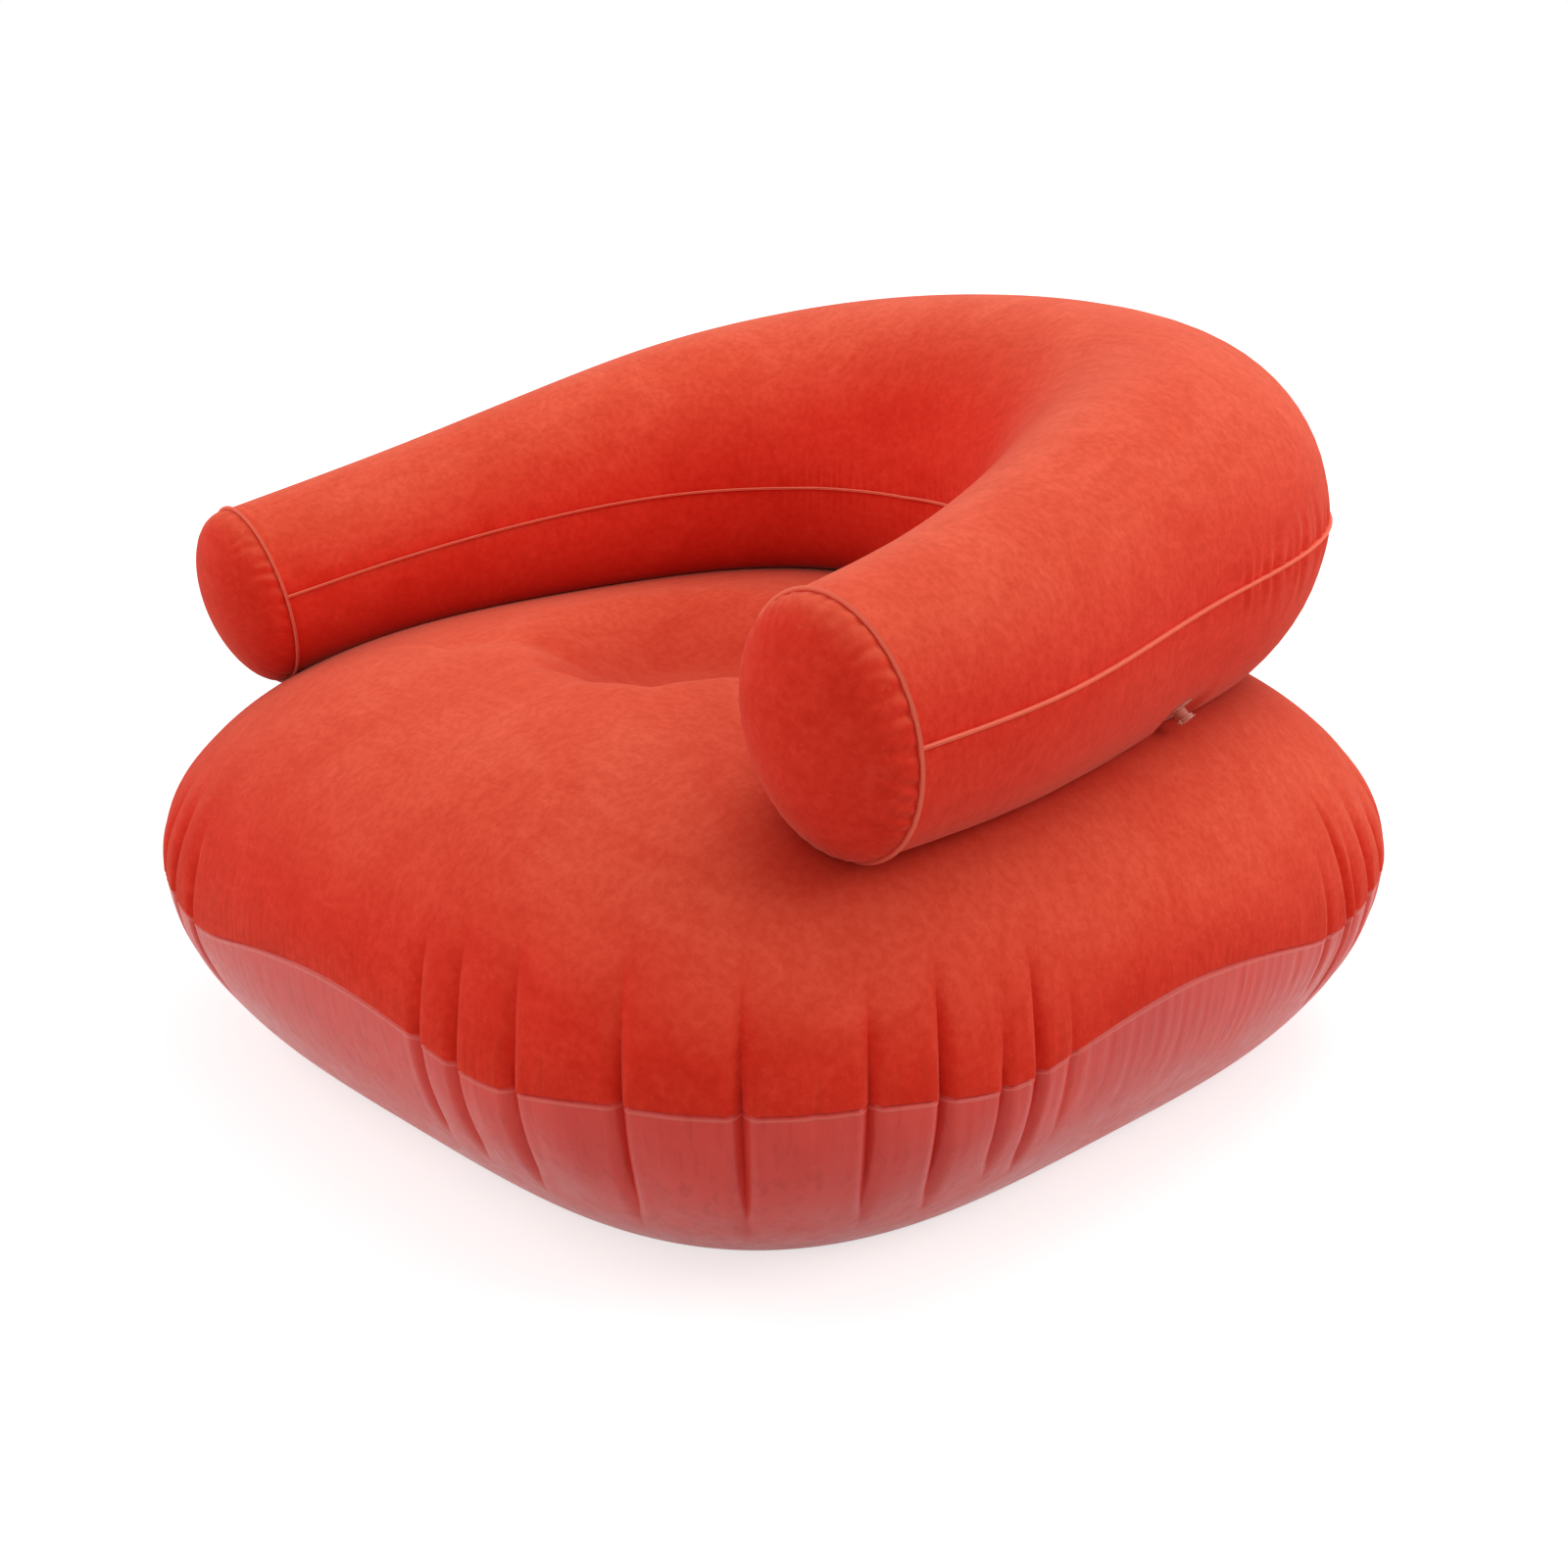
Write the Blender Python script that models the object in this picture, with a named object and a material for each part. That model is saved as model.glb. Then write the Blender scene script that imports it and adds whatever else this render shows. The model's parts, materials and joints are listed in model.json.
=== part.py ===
"""Inflatable lounge chair, built as its separate welded films and moulded valve parts.

A pillow chamber carries the sitter. Its flocked top panel laps over a smooth lower panel, and one
welded tie pulls the two together under a dimple. A horseshoe tube lies on the pillow as arms and
back: an upper and a lower flocked panel, welded along both long sides, and a domed disc at each end.
The pillow has a screw valve at the rear, and the tube a small push-in valve under the right arm.

Metres, +Z up. The sitter faces -Y. The origin is under the middle of the whole chair, on the floor.
"""

import math

import bmesh
import bpy
import numpy as np
from mathutils import Matrix, Vector
from mathutils.bvhtree import BVHTree

# Films and the gap between pieces that touch
FLOCKED_FILM = 0.0007
SMOOTH_FILM = 0.0005
TIE_FILM = 0.0008
GAP = 0.0003

# Pillow base
BASE_WIDTH = 1.12
BASE_DEPTH = 1.088
BASE_SEAM_HEIGHT = 0.18
CROWN_RISE = 0.254
BELLY_DROP = 0.267
OUTLINE_POWER = 3.6
CROWN_POWERS = (3.0, 1.9)
BELLY_POWERS = (3.87, 1.66)
SEAM_LAP = 0.008
SEAM_LAP_GAP = 0.0005
PLEAT_DEPTH = 0.008
# places of the pleats on each side of a corner, as shares of the seam from that corner to the next
PLEAT_SHARES = (0.112, 0.200, 0.268, 0.334)
LAST_RIDGE_SHARE = 0.37
SIDE_POINTS = 7
# rows of the seat above the seam, as angles of the crown's arch, and how much pleat is left there
SEAT_ROW_ANGLES = (20.0, 40.0, 60.0)
SEAT_PLEAT_SHARES = (0.55, 0.0, 0.0)
# rows of the belly below the seam, as shares of the seam's height, and the pleat left there
BELLY_ROW_SHARES = (0.80, 0.35, 0.12)
BELLY_PLEAT_SHARES = (0.70, 0.0, 0.0)

# Tie between the seat and the floor panel, with the dimples that it pulls in
TIE_FORWARD = 0.10
DIMPLE_DEPTH = 0.060
DIMPLE_RADIUS = 0.19
DIMPLE_FLOOR_RADIUS = 0.050
BELLY_DIMPLE_LIFT = 0.030
BELLY_DIMPLE_RADIUS = 0.16
TIE_DISC_RADIUS = 0.046
TIE_DISC_THICKNESS = 0.001
TIE_FLANGE_RADIUS = 0.044
TIE_COLUMN_RADIUS = 0.036
TIE_VENT_RADIUS = 0.008
TIE_VENTS = 4
TIE_SIDES = 24

# Horseshoe tube: its middle line from the front of an arm to the middle of the back, as shares of
# half the base's width and depth, with the tube's half width, half height and depth of bedding there
TUBE_X_SHARES = (0.776, 0.741, 0.636, 0.4386, 0.0)
TUBE_Y_SHARES = (-0.607, -0.311, 0.146, 0.568, 0.708)
TUBE_HALF_WIDTHS = (0.085, 0.104, 0.127, 0.184, 0.177)
TUBE_HALF_HEIGHTS = (0.1135, 0.129, 0.162, 0.184, 0.194)
TUBE_BEDDINGS = (-0.015, 0.030, 0.063, 0.059, 0.042)
TUBE_STATIONS = 28
TUBE_CELLS = 10
TUBE_REST_GAP = 0.005
TUBE_REST_BLEND = 0.006
TUBE_WELD_LIP = 0.004
# the arms' ends lean forward at the top, less and less over this share of the tube
ARM_END_LEAN = 10.5
ARM_LEAN_SHARE = 0.22
CAP_BULGE = 0.050
CAP_ROW_ANGLES = (28.0, 52.0, 74.0)

# Pads that join the tube's underside to the seat, placed as shares of the way round the tube
PAD_SHARES = {
    "weld_pad_front_right": 0.14,
    "weld_pad_rear_right": 0.33,
    "weld_pad_back": 0.50,
    "weld_pad_rear_left": 0.67,
    "weld_pad_front_left": 0.86,
}
PAD_LENGTH = 0.060
PAD_WIDTH = 0.036
PAD_SIDES = 24
PAD_PROBE_SHARES = (0.0, 0.33, 0.66, 1.0)

# Screw valve of the base, on its own axis: Z points out of the chair from the panel's outer face
NECK_BORE_RADIUS = 0.0135
NECK_WALL = 0.003
NECK_OUTSIDE = 0.006
NECK_INSIDE = 0.012
VALVE_FLANGE_RADIUS = 0.030
VALVE_FLANGE_THICKNESS = 0.0012
FILM_HOLE_CLEARANCE = 0.0006
NECK_RUNNING_GAP = 0.0004
SHANK_LENGTH = 0.015
SHANK_END_WALL = 0.002
GASKET_THICKNESS = 0.0012
GASKET_SEAT_STEP = 0.0008
HUB_HEIGHT = 0.0022
HEAD_RADIUS = 0.020
HEAD_THICKNESS = 0.0045
HEAD_LOBES = 12
HEAD_LOBE_DEPTH = 0.0012
TETHER_RING_WIDTH = 0.003
TETHER_RING_THICKNESS = 0.0014
TETHER_RUNNING_GAP = 0.0004
TETHER_STRAP_WIDTH = 0.005
TETHER_LUG_HEIGHT = 0.0022
TETHER_LUG_LENGTH = 0.004
NOZZLE_RADIUS = 0.0045
CAP_RADIUS = 0.0085
CAP_THICKNESS = 0.0022
CAP_PEG_RADIUS = 0.0040
CAP_PEG_END_RADIUS = 0.0033
CAP_PEG_LENGTH = 0.005
CAP_HINGE_OFFSET = 0.0115
CAP_HINGE_WIDTH = 0.005
CAP_TAB_LENGTH = 0.0035
FLAP_RADIUS = 0.0070
FLAP_THICKNESS = 0.0006
FLAP_HINGE_OFFSET = 0.0078
FLAP_HINGE_WIDTH = 0.005
SCREW_PITCH = 0.003
VALVE_SIDES = 24

# Push-in valve of the tube, on its own axis: Z points out of the chair
ARM_VALVE_ALONG_SHARE = 0.23
ARM_VALVE_ROUND_SHARE = 0.25
ARM_FLANGE_RADIUS = 0.016
ARM_FLANGE_THICKNESS = 0.0010
STEM_RADIUS = 0.0065
STEM_BORE_RADIUS = 0.0036
STEM_OUTSIDE = 0.012
STEM_INSIDE = 0.012
STEM_LIP_RADIUS = 0.0085
STEM_LIP_THICKNESS = 0.0018
STEM_RUNNING_GAP = 0.0005
STOPPER_PEG_RADIUS = 0.0032
STOPPER_PEG_LENGTH = 0.007
STOPPER_HEAD_RADIUS = 0.0078
STOPPER_HEAD_THICKNESS = 0.0020
STOPPER_TAB_LENGTH = 0.006
STOPPER_TAB_WIDTH = 0.006
STRAP_THICKNESS = 0.0010
STRAP_WIDTH = 0.0032
STRAP_BOW = 0.004
ARM_FLAP_RADIUS = 0.0055
ARM_FLAP_HINGE_OFFSET = 0.0058

BOOLEAN_OVERRUN = 0.004

HALF_WIDTH = BASE_WIDTH / 2
HALF_DEPTH = BASE_DEPTH / 2
TUBE_BACK_REACH = TUBE_Y_SHARES[-1] * HALF_DEPTH + TUBE_HALF_WIDTHS[-1] + TUBE_WELD_LIP
# the sheets below are drawn round the middle of the base, and the whole chair is then moved by this
CHAIR_SHIFT_Y = (HALF_DEPTH - max(TUBE_BACK_REACH, HALF_DEPTH)) / 2


def clear_scene():
    for obj in list(bpy.data.objects):
        bpy.data.objects.remove(obj, do_unlink=True)


def material(name, colour, roughness, alpha=1.0):
    made = bpy.data.materials.new(name)
    made.use_nodes = True
    shader = made.node_tree.nodes["Principled BSDF"]
    shader.inputs["Base Color"].default_value = (*colour, 1.0)
    shader.inputs["Roughness"].default_value = roughness
    shader.inputs["Metallic"].default_value = 0.0
    shader.inputs["Alpha"].default_value = alpha
    return made


def empty(name, parent=None, matrix=None):
    made = bpy.data.objects.new(name, None)
    bpy.context.collection.objects.link(made)
    made.parent = parent
    if matrix is not None:
        made.matrix_local = matrix
    return made


def mesh_object(name, bm, parent, finish, smooth_angle=35.0):
    """Links what bm holds as an object of its own, shaded smooth except over sharp edges."""
    mesh = bpy.data.meshes.new(name)
    bm.normal_update()
    bm.to_mesh(mesh)
    bm.free()
    mesh.materials.append(finish)
    mesh.shade_smooth()
    mesh.set_sharp_from_angle(angle=math.radians(smooth_angle))
    obj = bpy.data.objects.new(name, mesh)
    bpy.context.collection.objects.link(obj)
    obj.parent = parent
    return obj


def thicken(obj, thickness, outward):
    """Gives a sheet the thickness of its film, on the side that its faces look to or the other."""
    modifier = obj.modifiers.new("film", "SOLIDIFY")
    modifier.thickness = thickness
    modifier.offset = 1.0 if outward else -1.0
    modifier.use_even_offset = True


def cut(obj, cutter):
    cutter.hide_render = True
    cutter.display_type = "WIRE"
    modifier = obj.modifiers.new("cut", "BOOLEAN")
    modifier.operation = "DIFFERENCE"
    modifier.solver = "EXACT"
    modifier.object = cutter


def join_on(obj, other):
    other.hide_render = True
    other.display_type = "WIRE"
    modifier = obj.modifiers.new("join", "BOOLEAN")
    modifier.operation = "UNION"
    modifier.solver = "EXACT"
    modifier.object = other


def turned(name, profile, parent, finish, sides=VALVE_SIDES):
    """A closed (radius, height) profile turned about Z. A radius of zero closes on the axis."""
    bm = bmesh.new()
    points = [bm.verts.new((radius, 0, height)) for radius, height in profile]
    loop = list(zip(points, points[1:] + points[:1]))
    edges = [bm.edges.new(pair) for pair in loop if pair[0].co.x > 0 or pair[1].co.x > 0]
    bmesh.ops.spin(
        bm, geom=points + edges, cent=(0, 0, 0), axis=(0, 0, 1), dvec=(0, 0, 0),
        angle=math.tau, steps=sides, use_merge=True,
    )
    bmesh.ops.remove_doubles(bm, verts=bm.verts, dist=GAP / 100)
    bmesh.ops.recalc_face_normals(bm, faces=bm.faces)
    return mesh_object(name, bm, parent, finish)


def bar_between(name, ends, parent, finish):
    """A bar with the same many-sided end at both sides."""
    bm = bmesh.new()
    near, far = ([bm.verts.new(point) for point in end] for end in ends)
    bm.faces.new(near)
    bm.faces.new(far[::-1])
    for i in range(len(near)):
        after = (i + 1) % len(near)
        bm.faces.new((near[i], far[i], far[after], near[after]))
    bmesh.ops.recalc_face_normals(bm, faces=bm.faces)
    return mesh_object(name, bm, parent, finish)


def block(name, low, high, parent, finish):
    """A box from one corner to the other, given in the parent's own frame."""
    bm = bmesh.new()
    bmesh.ops.create_cube(bm, size=1)
    middle = [(a + b) / 2 for a, b in zip(low, high)]
    side = [b - a for a, b in zip(low, high)]
    for vert in bm.verts:
        vert.co = Vector([m + c * s for m, c, s in zip(middle, vert.co, side)])
    return mesh_object(name, bm, parent, finish)


# Base outline, crown and belly


def outline_table():
    """Points of the base's outline at close steps, with its inward normals and corner places."""
    angle = np.linspace(math.pi / 4, math.pi / 4 + math.tau, 5761)
    cosine, sine = np.cos(angle), np.sin(angle)
    power = 2 / OUTLINE_POWER
    x = HALF_WIDTH * np.sign(cosine) * np.abs(cosine) ** power
    y = HALF_DEPTH * np.sign(sine) * np.abs(sine) ** power
    inward = np.column_stack([
        -np.sign(x) * np.abs(x / HALF_WIDTH) ** (OUTLINE_POWER - 1) / HALF_WIDTH,
        -np.sign(y) * np.abs(y / HALF_DEPTH) ** (OUTLINE_POWER - 1) / HALF_DEPTH,
    ])
    inward /= np.linalg.norm(inward, axis=1)[:, None]
    length = np.concatenate([[0], np.cumsum(np.hypot(np.diff(x), np.diff(y)))])
    corners = np.linspace(0, len(angle) - 1, 5).astype(int)
    return np.column_stack([x, y]), inward, length, corners


def seam_places():
    """Places round the seam: (point, inward normal, 1 in a pleat's valley or 0 on a ridge)."""
    points, inward, length, corners = outline_table()
    valleys = [0.0, *PLEAT_SHARES]
    shares = []
    for near, far in zip(valleys, [*valleys[1:], None]):
        shares.append((near, 1))
        shares.append(((near + far) / 2 if far else LAST_RIDGE_SHARE, 0))
    middle = np.linspace(LAST_RIDGE_SHARE, 1 - LAST_RIDGE_SHARE, SIDE_POINTS + 2)[1:-1]
    mirrored = [(1 - share, valley) for share, valley in reversed(shares[1:])]
    quarter = shares + [(share, 0) for share in middle] + mirrored
    places = []
    for start, end in zip(corners[:-1], corners[1:]):
        for share, valley in quarter:
            want = length[start] + share * (length[end] - length[start])
            at = [np.interp(want, length, column) for column in (*points.T, *inward.T)]
            places.append((np.array(at[:2]), np.array(at[2:]), valley))
    return places


def row_of(places, scale, inset, dent, height):
    return [
        Vector((*(point * scale + inward * (inset + dent * valley)), height))
        for point, inward, valley in places
    ]


def outline_share(x, y):
    return (abs(x / HALF_WIDTH) ** OUTLINE_POWER + abs(y / HALF_DEPTH) ** OUTLINE_POWER) ** (
        1 / OUTLINE_POWER
    )


def crown_height(x, y):
    """Height of the smooth crown over a point, without pleats or dimple."""
    share = min(outline_share(x, y), 1.0)
    return BASE_SEAM_HEIGHT + CROWN_RISE * (1 - share ** CROWN_POWERS[0]) ** (1 / CROWN_POWERS[1])


def crown_row(angle):
    share = math.cos(math.radians(angle)) ** (2 / CROWN_POWERS[0])
    rise = CROWN_RISE * math.sin(math.radians(angle)) ** (2 / CROWN_POWERS[1])
    return share, BASE_SEAM_HEIGHT + rise


def crown_share_at(height):
    rise = (height - BASE_SEAM_HEIGHT) / CROWN_RISE
    return (1 - rise ** CROWN_POWERS[1]) ** (1 / CROWN_POWERS[0])


def belly_share_at(height):
    drop = (BASE_SEAM_HEIGHT - height) / BELLY_DROP
    return (1 - drop ** BELLY_POWERS[1]) ** (1 / BELLY_POWERS[0])


def dimple_weight(x, y, inner, outer):
    """1 on the tie's disc, falling smoothly to 0 at the dimple's outer radius."""
    away = (math.hypot(x, y + TIE_FORWARD) - inner) / (outer - inner)
    away = min(max(away, 0.0), 1.0)
    return 1 - away * away * (3 - 2 * away)


def seat_height(x, y):
    floor = crown_height(0, -TIE_FORWARD) - DIMPLE_DEPTH
    weight = dimple_weight(x, y, DIMPLE_FLOOR_RADIUS, DIMPLE_RADIUS)
    return crown_height(x, y) * (1 - weight) + floor * weight


def ring_round_tie(row, radius, height_at):
    """A round row about the tie, with one point in the direction of each point of row."""
    ring = []
    for point in row:
        turn = math.atan2(point.y + TIE_FORWARD, point.x)
        x, y = radius * math.cos(turn), radius * math.sin(turn) - TIE_FORWARD
        ring.append(Vector((x, y, height_at(x, y))))
    return ring


def dish(rows, top):
    """Bridges closed rows from the rim to a middle point. A row may hold half of the one before."""
    bm = bmesh.new()
    loops = [[bm.verts.new(point) for point in row] for row, _ in rows]

    def face(*corners):
        bm.faces.new(corners if top else corners[::-1])

    for (outer, inner), (_, start) in zip(zip(loops, loops[1:]), rows[1:]):
        count = len(inner)
        if len(outer) == count:
            for i in range(count):
                after = (i + 1) % count
                face(outer[i], outer[after], inner[after], inner[i])
            continue
        for i in range(count):
            near, after = 2 * i + start, (i + 1) % count
            middle, far = outer[(near + 1) % len(outer)], outer[(near + 2) % len(outer)]
            face(outer[near], middle, inner[i])
            face(middle, inner[after], inner[i])
            face(middle, far, inner[after])
    centre = bm.verts.new(sum((vert.co for vert in loops[-1]), Vector()) / len(loops[-1]))
    for first, second in zip(loops[-1], loops[-1][1:] + loops[-1][:1]):
        face(first, second, centre)
    return bm


def seat_top_panel(root, finish):
    """Flocked panel: hem over the seam, pleated shoulder, crown, and the dimple over the tie."""
    places = seam_places()
    lap_height = BASE_SEAM_HEIGHT + SEAM_LAP
    rows = [
        (row_of(places, 1.0, 0, PLEAT_DEPTH, BASE_SEAM_HEIGHT), 0),
        (row_of(places, crown_share_at(lap_height), 0, PLEAT_DEPTH, lap_height), 0),
    ]
    for number, (angle, pleat) in enumerate(zip(SEAT_ROW_ANGLES, SEAT_PLEAT_SHARES)):
        share, height = crown_row(angle)
        kept = places if number == 0 else places[1::2]
        rows.append((row_of(kept, share, 0, PLEAT_DEPTH * pleat, height), int(number == 1)))
    coarse = rows[-1][0][::2]
    middle_radius = (DIMPLE_RADIUS + DIMPLE_FLOOR_RADIUS) / 2
    for radius in (DIMPLE_RADIUS, middle_radius, DIMPLE_FLOOR_RADIUS):
        rows.append((ring_round_tie(coarse, radius, seat_height), 0))
    obj = mesh_object("seat_top_panel", dish(rows, True), root, finish)
    thicken(obj, FLOCKED_FILM, outward=False)
    return obj


def lower_panel_row(places, height, dent):
    inset = FLOCKED_FILM + SEAM_LAP_GAP
    return row_of(places, belly_share_at(height), inset, dent, height)


def belly_height(x, y):
    lift = BELLY_DIMPLE_LIFT * dimple_weight(x, y, DIMPLE_FLOOR_RADIUS, BELLY_DIMPLE_RADIUS)
    return lift


def base_lower_panel(root, finish):
    """Smooth panel: an edge under the hem, the belly, the flat patch on the floor, and its dimple."""
    places = seam_places()
    lap_height = BASE_SEAM_HEIGHT + SEAM_LAP
    inset = FLOCKED_FILM + SEAM_LAP_GAP
    lap_share = crown_share_at(lap_height)
    rows = [
        (row_of(places, lap_share, inset, PLEAT_DEPTH, lap_height), 0),
        (lower_panel_row(places, BASE_SEAM_HEIGHT, PLEAT_DEPTH), 0),
    ]
    for number, (share, pleat) in enumerate(zip(BELLY_ROW_SHARES, BELLY_PLEAT_SHARES)):
        kept = places if number == 0 else places[1::2]
        row = lower_panel_row(kept, share * BASE_SEAM_HEIGHT, PLEAT_DEPTH * pleat)
        rows.append((row, int(number == 1)))
    rows.append((lower_panel_row(places[1::2], 0, 0), 0))
    coarse = rows[-1][0][::2]
    middle_radius = (BELLY_DIMPLE_RADIUS + DIMPLE_FLOOR_RADIUS) / 2
    for radius in (BELLY_DIMPLE_RADIUS, middle_radius, DIMPLE_FLOOR_RADIUS):
        rows.append((ring_round_tie(coarse, radius, belly_height), 0))
    obj = mesh_object("base_lower_panel", dish(rows, False), root, finish)
    thicken(obj, SMOOTH_FILM, outward=False)
    return obj


# Tie


def tie(root, finish):
    """Two discs welded to the panels and a film column between them, with holes for the air."""
    axis = empty("tie_axis", root, Matrix.Translation((0, -TIE_FORWARD, 0)))
    seat_inside = seat_height(0, -TIE_FORWARD) - FLOCKED_FILM
    floor_inside = BELLY_DIMPLE_LIFT + SMOOTH_FILM
    disc_top = seat_inside - GAP
    disc_bottom = floor_inside + GAP
    for name, low in (
        ("tie_upper_disc", disc_top - TIE_DISC_THICKNESS),
        ("tie_lower_disc", disc_bottom),
    ):
        high = low + TIE_DISC_THICKNESS
        rim = TIE_DISC_RADIUS
        turned(name, [(0, low), (rim, low), (rim, high), (0, high)], axis, finish, TIE_SIDES)
    low = disc_bottom + TIE_DISC_THICKNESS + GAP
    high = disc_top - TIE_DISC_THICKNESS - GAP
    rim, wall = TIE_FLANGE_RADIUS, TIE_COLUMN_RADIUS
    profile = [
        (wall - TIE_FILM, low), (rim, low), (rim, low + TIE_FILM), (wall, low + TIE_FILM),
        (wall, high - TIE_FILM), (rim, high - TIE_FILM), (rim, high), (wall - TIE_FILM, high),
    ]
    column = turned("tie_column", profile, axis, finish, TIE_SIDES)
    for number in range(TIE_VENTS // 2):
        bm = bmesh.new()
        bmesh.ops.create_cone(
            bm, cap_ends=True, segments=VALVE_SIDES, radius1=TIE_VENT_RADIUS,
            radius2=TIE_VENT_RADIUS, depth=2 * (wall + BOOLEAN_OVERRUN),
        )
        cutter = mesh_object(f"vent_cutter_{number}", bm, axis, finish)
        turn = Matrix.Rotation(math.tau * number / TIE_VENTS, 4, "Z")
        lie = Matrix.Rotation(math.pi / 2, 4, "X")
        cutter.matrix_local = Matrix.Translation((0, 0, (low + high) / 2)) @ turn @ lie
        cut(column, cutter)


# Horseshoe tube


def natural_spline(at, values, wanted):
    """A natural cubic spline through values at the places at, read at the places wanted."""
    at, values = np.asarray(at), np.asarray(values)
    step = np.diff(at)
    count = len(at)
    system, right = np.eye(count), np.zeros(count)
    for i in range(1, count - 1):
        system[i, i - 1 : i + 2] = step[i - 1], 2 * (step[i - 1] + step[i]), step[i]
        slopes = np.diff(values[i - 1 : i + 2]) / step[i - 1 : i + 1]
        right[i] = 6 * (slopes[1] - slopes[0])
    bend = np.linalg.solve(system, right)
    k = np.clip(np.searchsorted(at, wanted) - 1, 0, count - 2)
    before, after, width = wanted - at[k], at[k + 1] - wanted, step[k]
    return (
        (bend[k] * after**3 + bend[k + 1] * before**3) / (6 * width)
        + (values[k] / width - bend[k] * width / 6) * after
        + (values[k + 1] / width - bend[k + 1] * width / 6) * before
    )


def tube_stations():
    """Sections of the tube from the right arm's front, round the back, to the left arm's front.

    Each is (middle, outward, ahead, lean, half width, half height), equal steps apart in plan.
    """
    x = [share * HALF_WIDTH for share in TUBE_X_SHARES]
    y = [share * HALF_DEPTH for share in TUBE_Y_SHARES]
    z = [
        crown_height(*place) + tall - bedding
        for *place, tall, bedding in zip(x, y, TUBE_HALF_HEIGHTS, TUBE_BEDDINGS)
    ]
    x = x + [-value for value in x[-2::-1]]
    y, z, wide, tall = (
        [*values, *values[-2::-1]] for values in (y, z, TUBE_HALF_WIDTHS, TUBE_HALF_HEIGHTS)
    )
    knots = np.concatenate([[0], np.cumsum(np.hypot(np.diff(x), np.diff(y)))])
    close = np.linspace(0, knots[-1], 20 * TUBE_STATIONS + 1)
    line = np.column_stack([natural_spline(knots, values, close) for values in (x, y)])
    length = np.concatenate([[0], np.cumsum(np.hypot(*np.diff(line, axis=0).T))])
    at = np.interp(np.linspace(0, length[-1], TUBE_STATIONS + 1), length, close)
    px, py, pz, pw, ph = (natural_spline(knots, values, at) for values in (x, y, z, wide, tall))
    slip = close[1]
    fx, fy = (
        natural_spline(knots, values, np.clip(at + slip, 0, knots[-1]))
        - natural_spline(knots, values, np.clip(at - slip, 0, knots[-1]))
        for values in (x, y)
    )
    stations = []
    for i in range(TUBE_STATIONS + 1):
        ahead = Vector((fx[i], fy[i], 0)).normalized()
        outward = Vector((ahead.y, -ahead.x, 0))
        lean = end_lean(i / TUBE_STATIONS)
        stations.append((Vector((px[i], py[i], pz[i])), outward, ahead, lean, pw[i], ph[i]))
    return stations


def end_lean(share):
    """How far the section's top leans against the tube's direction, per metre of its height."""
    front = max(0.0, 1 - share / ARM_LEAN_SHARE) ** 2
    rear = max(0.0, 1 - (1 - share) / ARM_LEAN_SHARE) ** 2
    return math.tan(math.radians(ARM_END_LEAN)) * (front - rear)


def bedded(point):
    """Lifts a point that would sink into the crown, with a soft turn where the tube meets it."""
    floor = crown_height(point.x, point.y) + TUBE_REST_GAP
    over = (point.z - floor) / TUBE_REST_BLEND
    lifted = over + math.log1p(math.exp(-over)) if over > 0 else math.log1p(math.exp(over))
    return Vector((point.x, point.y, floor + lifted * TUBE_REST_BLEND))


def section_point(station, turn, spread, lift=0.0, along=0.0):
    """A point of a section: turn is 0 on the outer seam and 180 on the inner, spread widens it."""
    middle, outward, ahead, lean, wide, tall = station
    turn = math.radians(turn)
    height = (tall + spread) * math.sin(turn) + lift
    point = (
        middle
        + outward * ((wide + spread) * math.cos(turn))
        + Vector((0, 0, height))
        + ahead * (along - lean * height)
    )
    resting = bedded(point)
    return resting - ahead * (lean * (resting.z - point.z))


def tube_panel(name, side, root, finish):
    """The upper (side 1) or lower (side -1) half of the tube, with weld lips on all four edges."""
    stations = tube_stations()
    inside, lip, lift = -FLOCKED_FILM, TUBE_WELD_LIP, side * GAP / 2
    turns = [side * 180.0 * cell / TUBE_CELLS for cell in range(TUBE_CELLS + 1)]
    bm = bmesh.new()
    grid = []
    for number, station in enumerate(stations):
        along = {0: GAP / 2, TUBE_STATIONS: -GAP / 2}.get(number, 0.0)
        ring = [section_point(station, turn, inside, lift, along) for turn in turns]
        outer = section_point(station, turns[0], lip, lift, along)
        inner = section_point(station, turns[-1], lip, lift, along)
        grid.append([bm.verts.new(point) for point in (outer, *ring, inner)])
    if side < 0:
        flatten_valve_cell(grid)
    for near, far in zip(grid, grid[1:]):
        for j in range(len(near) - 1):
            bm.faces.new((near[j], near[j + 1], far[j + 1], far[j])[:: -side])
    for number, along, turned_round in ((0, GAP / 2, 1), (TUBE_STATIONS, -GAP / 2, -1)):
        wall = grid[number][1:-1]
        edge = [
            bm.verts.new(section_point(stations[number], turn, lip, lift, along))
            for turn in turns[1:-1]
        ]
        edge = [grid[number][0], *edge, grid[number][-1]]
        for j in range(TUBE_CELLS):
            bm.faces.new((edge[j], edge[j + 1], wall[j + 1], wall[j])[:: -side * turned_round])
    obj = mesh_object(name, bm, root, finish, smooth_angle=60.0)
    thicken(obj, FLOCKED_FILM, outward=True)
    return obj


def valve_cell_numbers():
    return int(ARM_VALVE_ALONG_SHARE * TUBE_STATIONS), int(ARM_VALVE_ROUND_SHARE * TUBE_CELLS)


def valve_cell(grid_point):
    """The corners of the cell that carries the arm valve, by (station, turn number)."""
    i, j = valve_cell_numbers()
    j += 1
    return [grid_point(a, b) for a, b in ((i, j), (i, j + 1), (i + 1, j + 1), (i + 1, j))]


def plane_of(corners):
    """Middle and normal of the plane nearest to four points."""
    middle = sum(corners, Vector()) / len(corners)
    normal = (corners[2] - corners[0]).cross(corners[3] - corners[1]).normalized()
    return middle, normal


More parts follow.
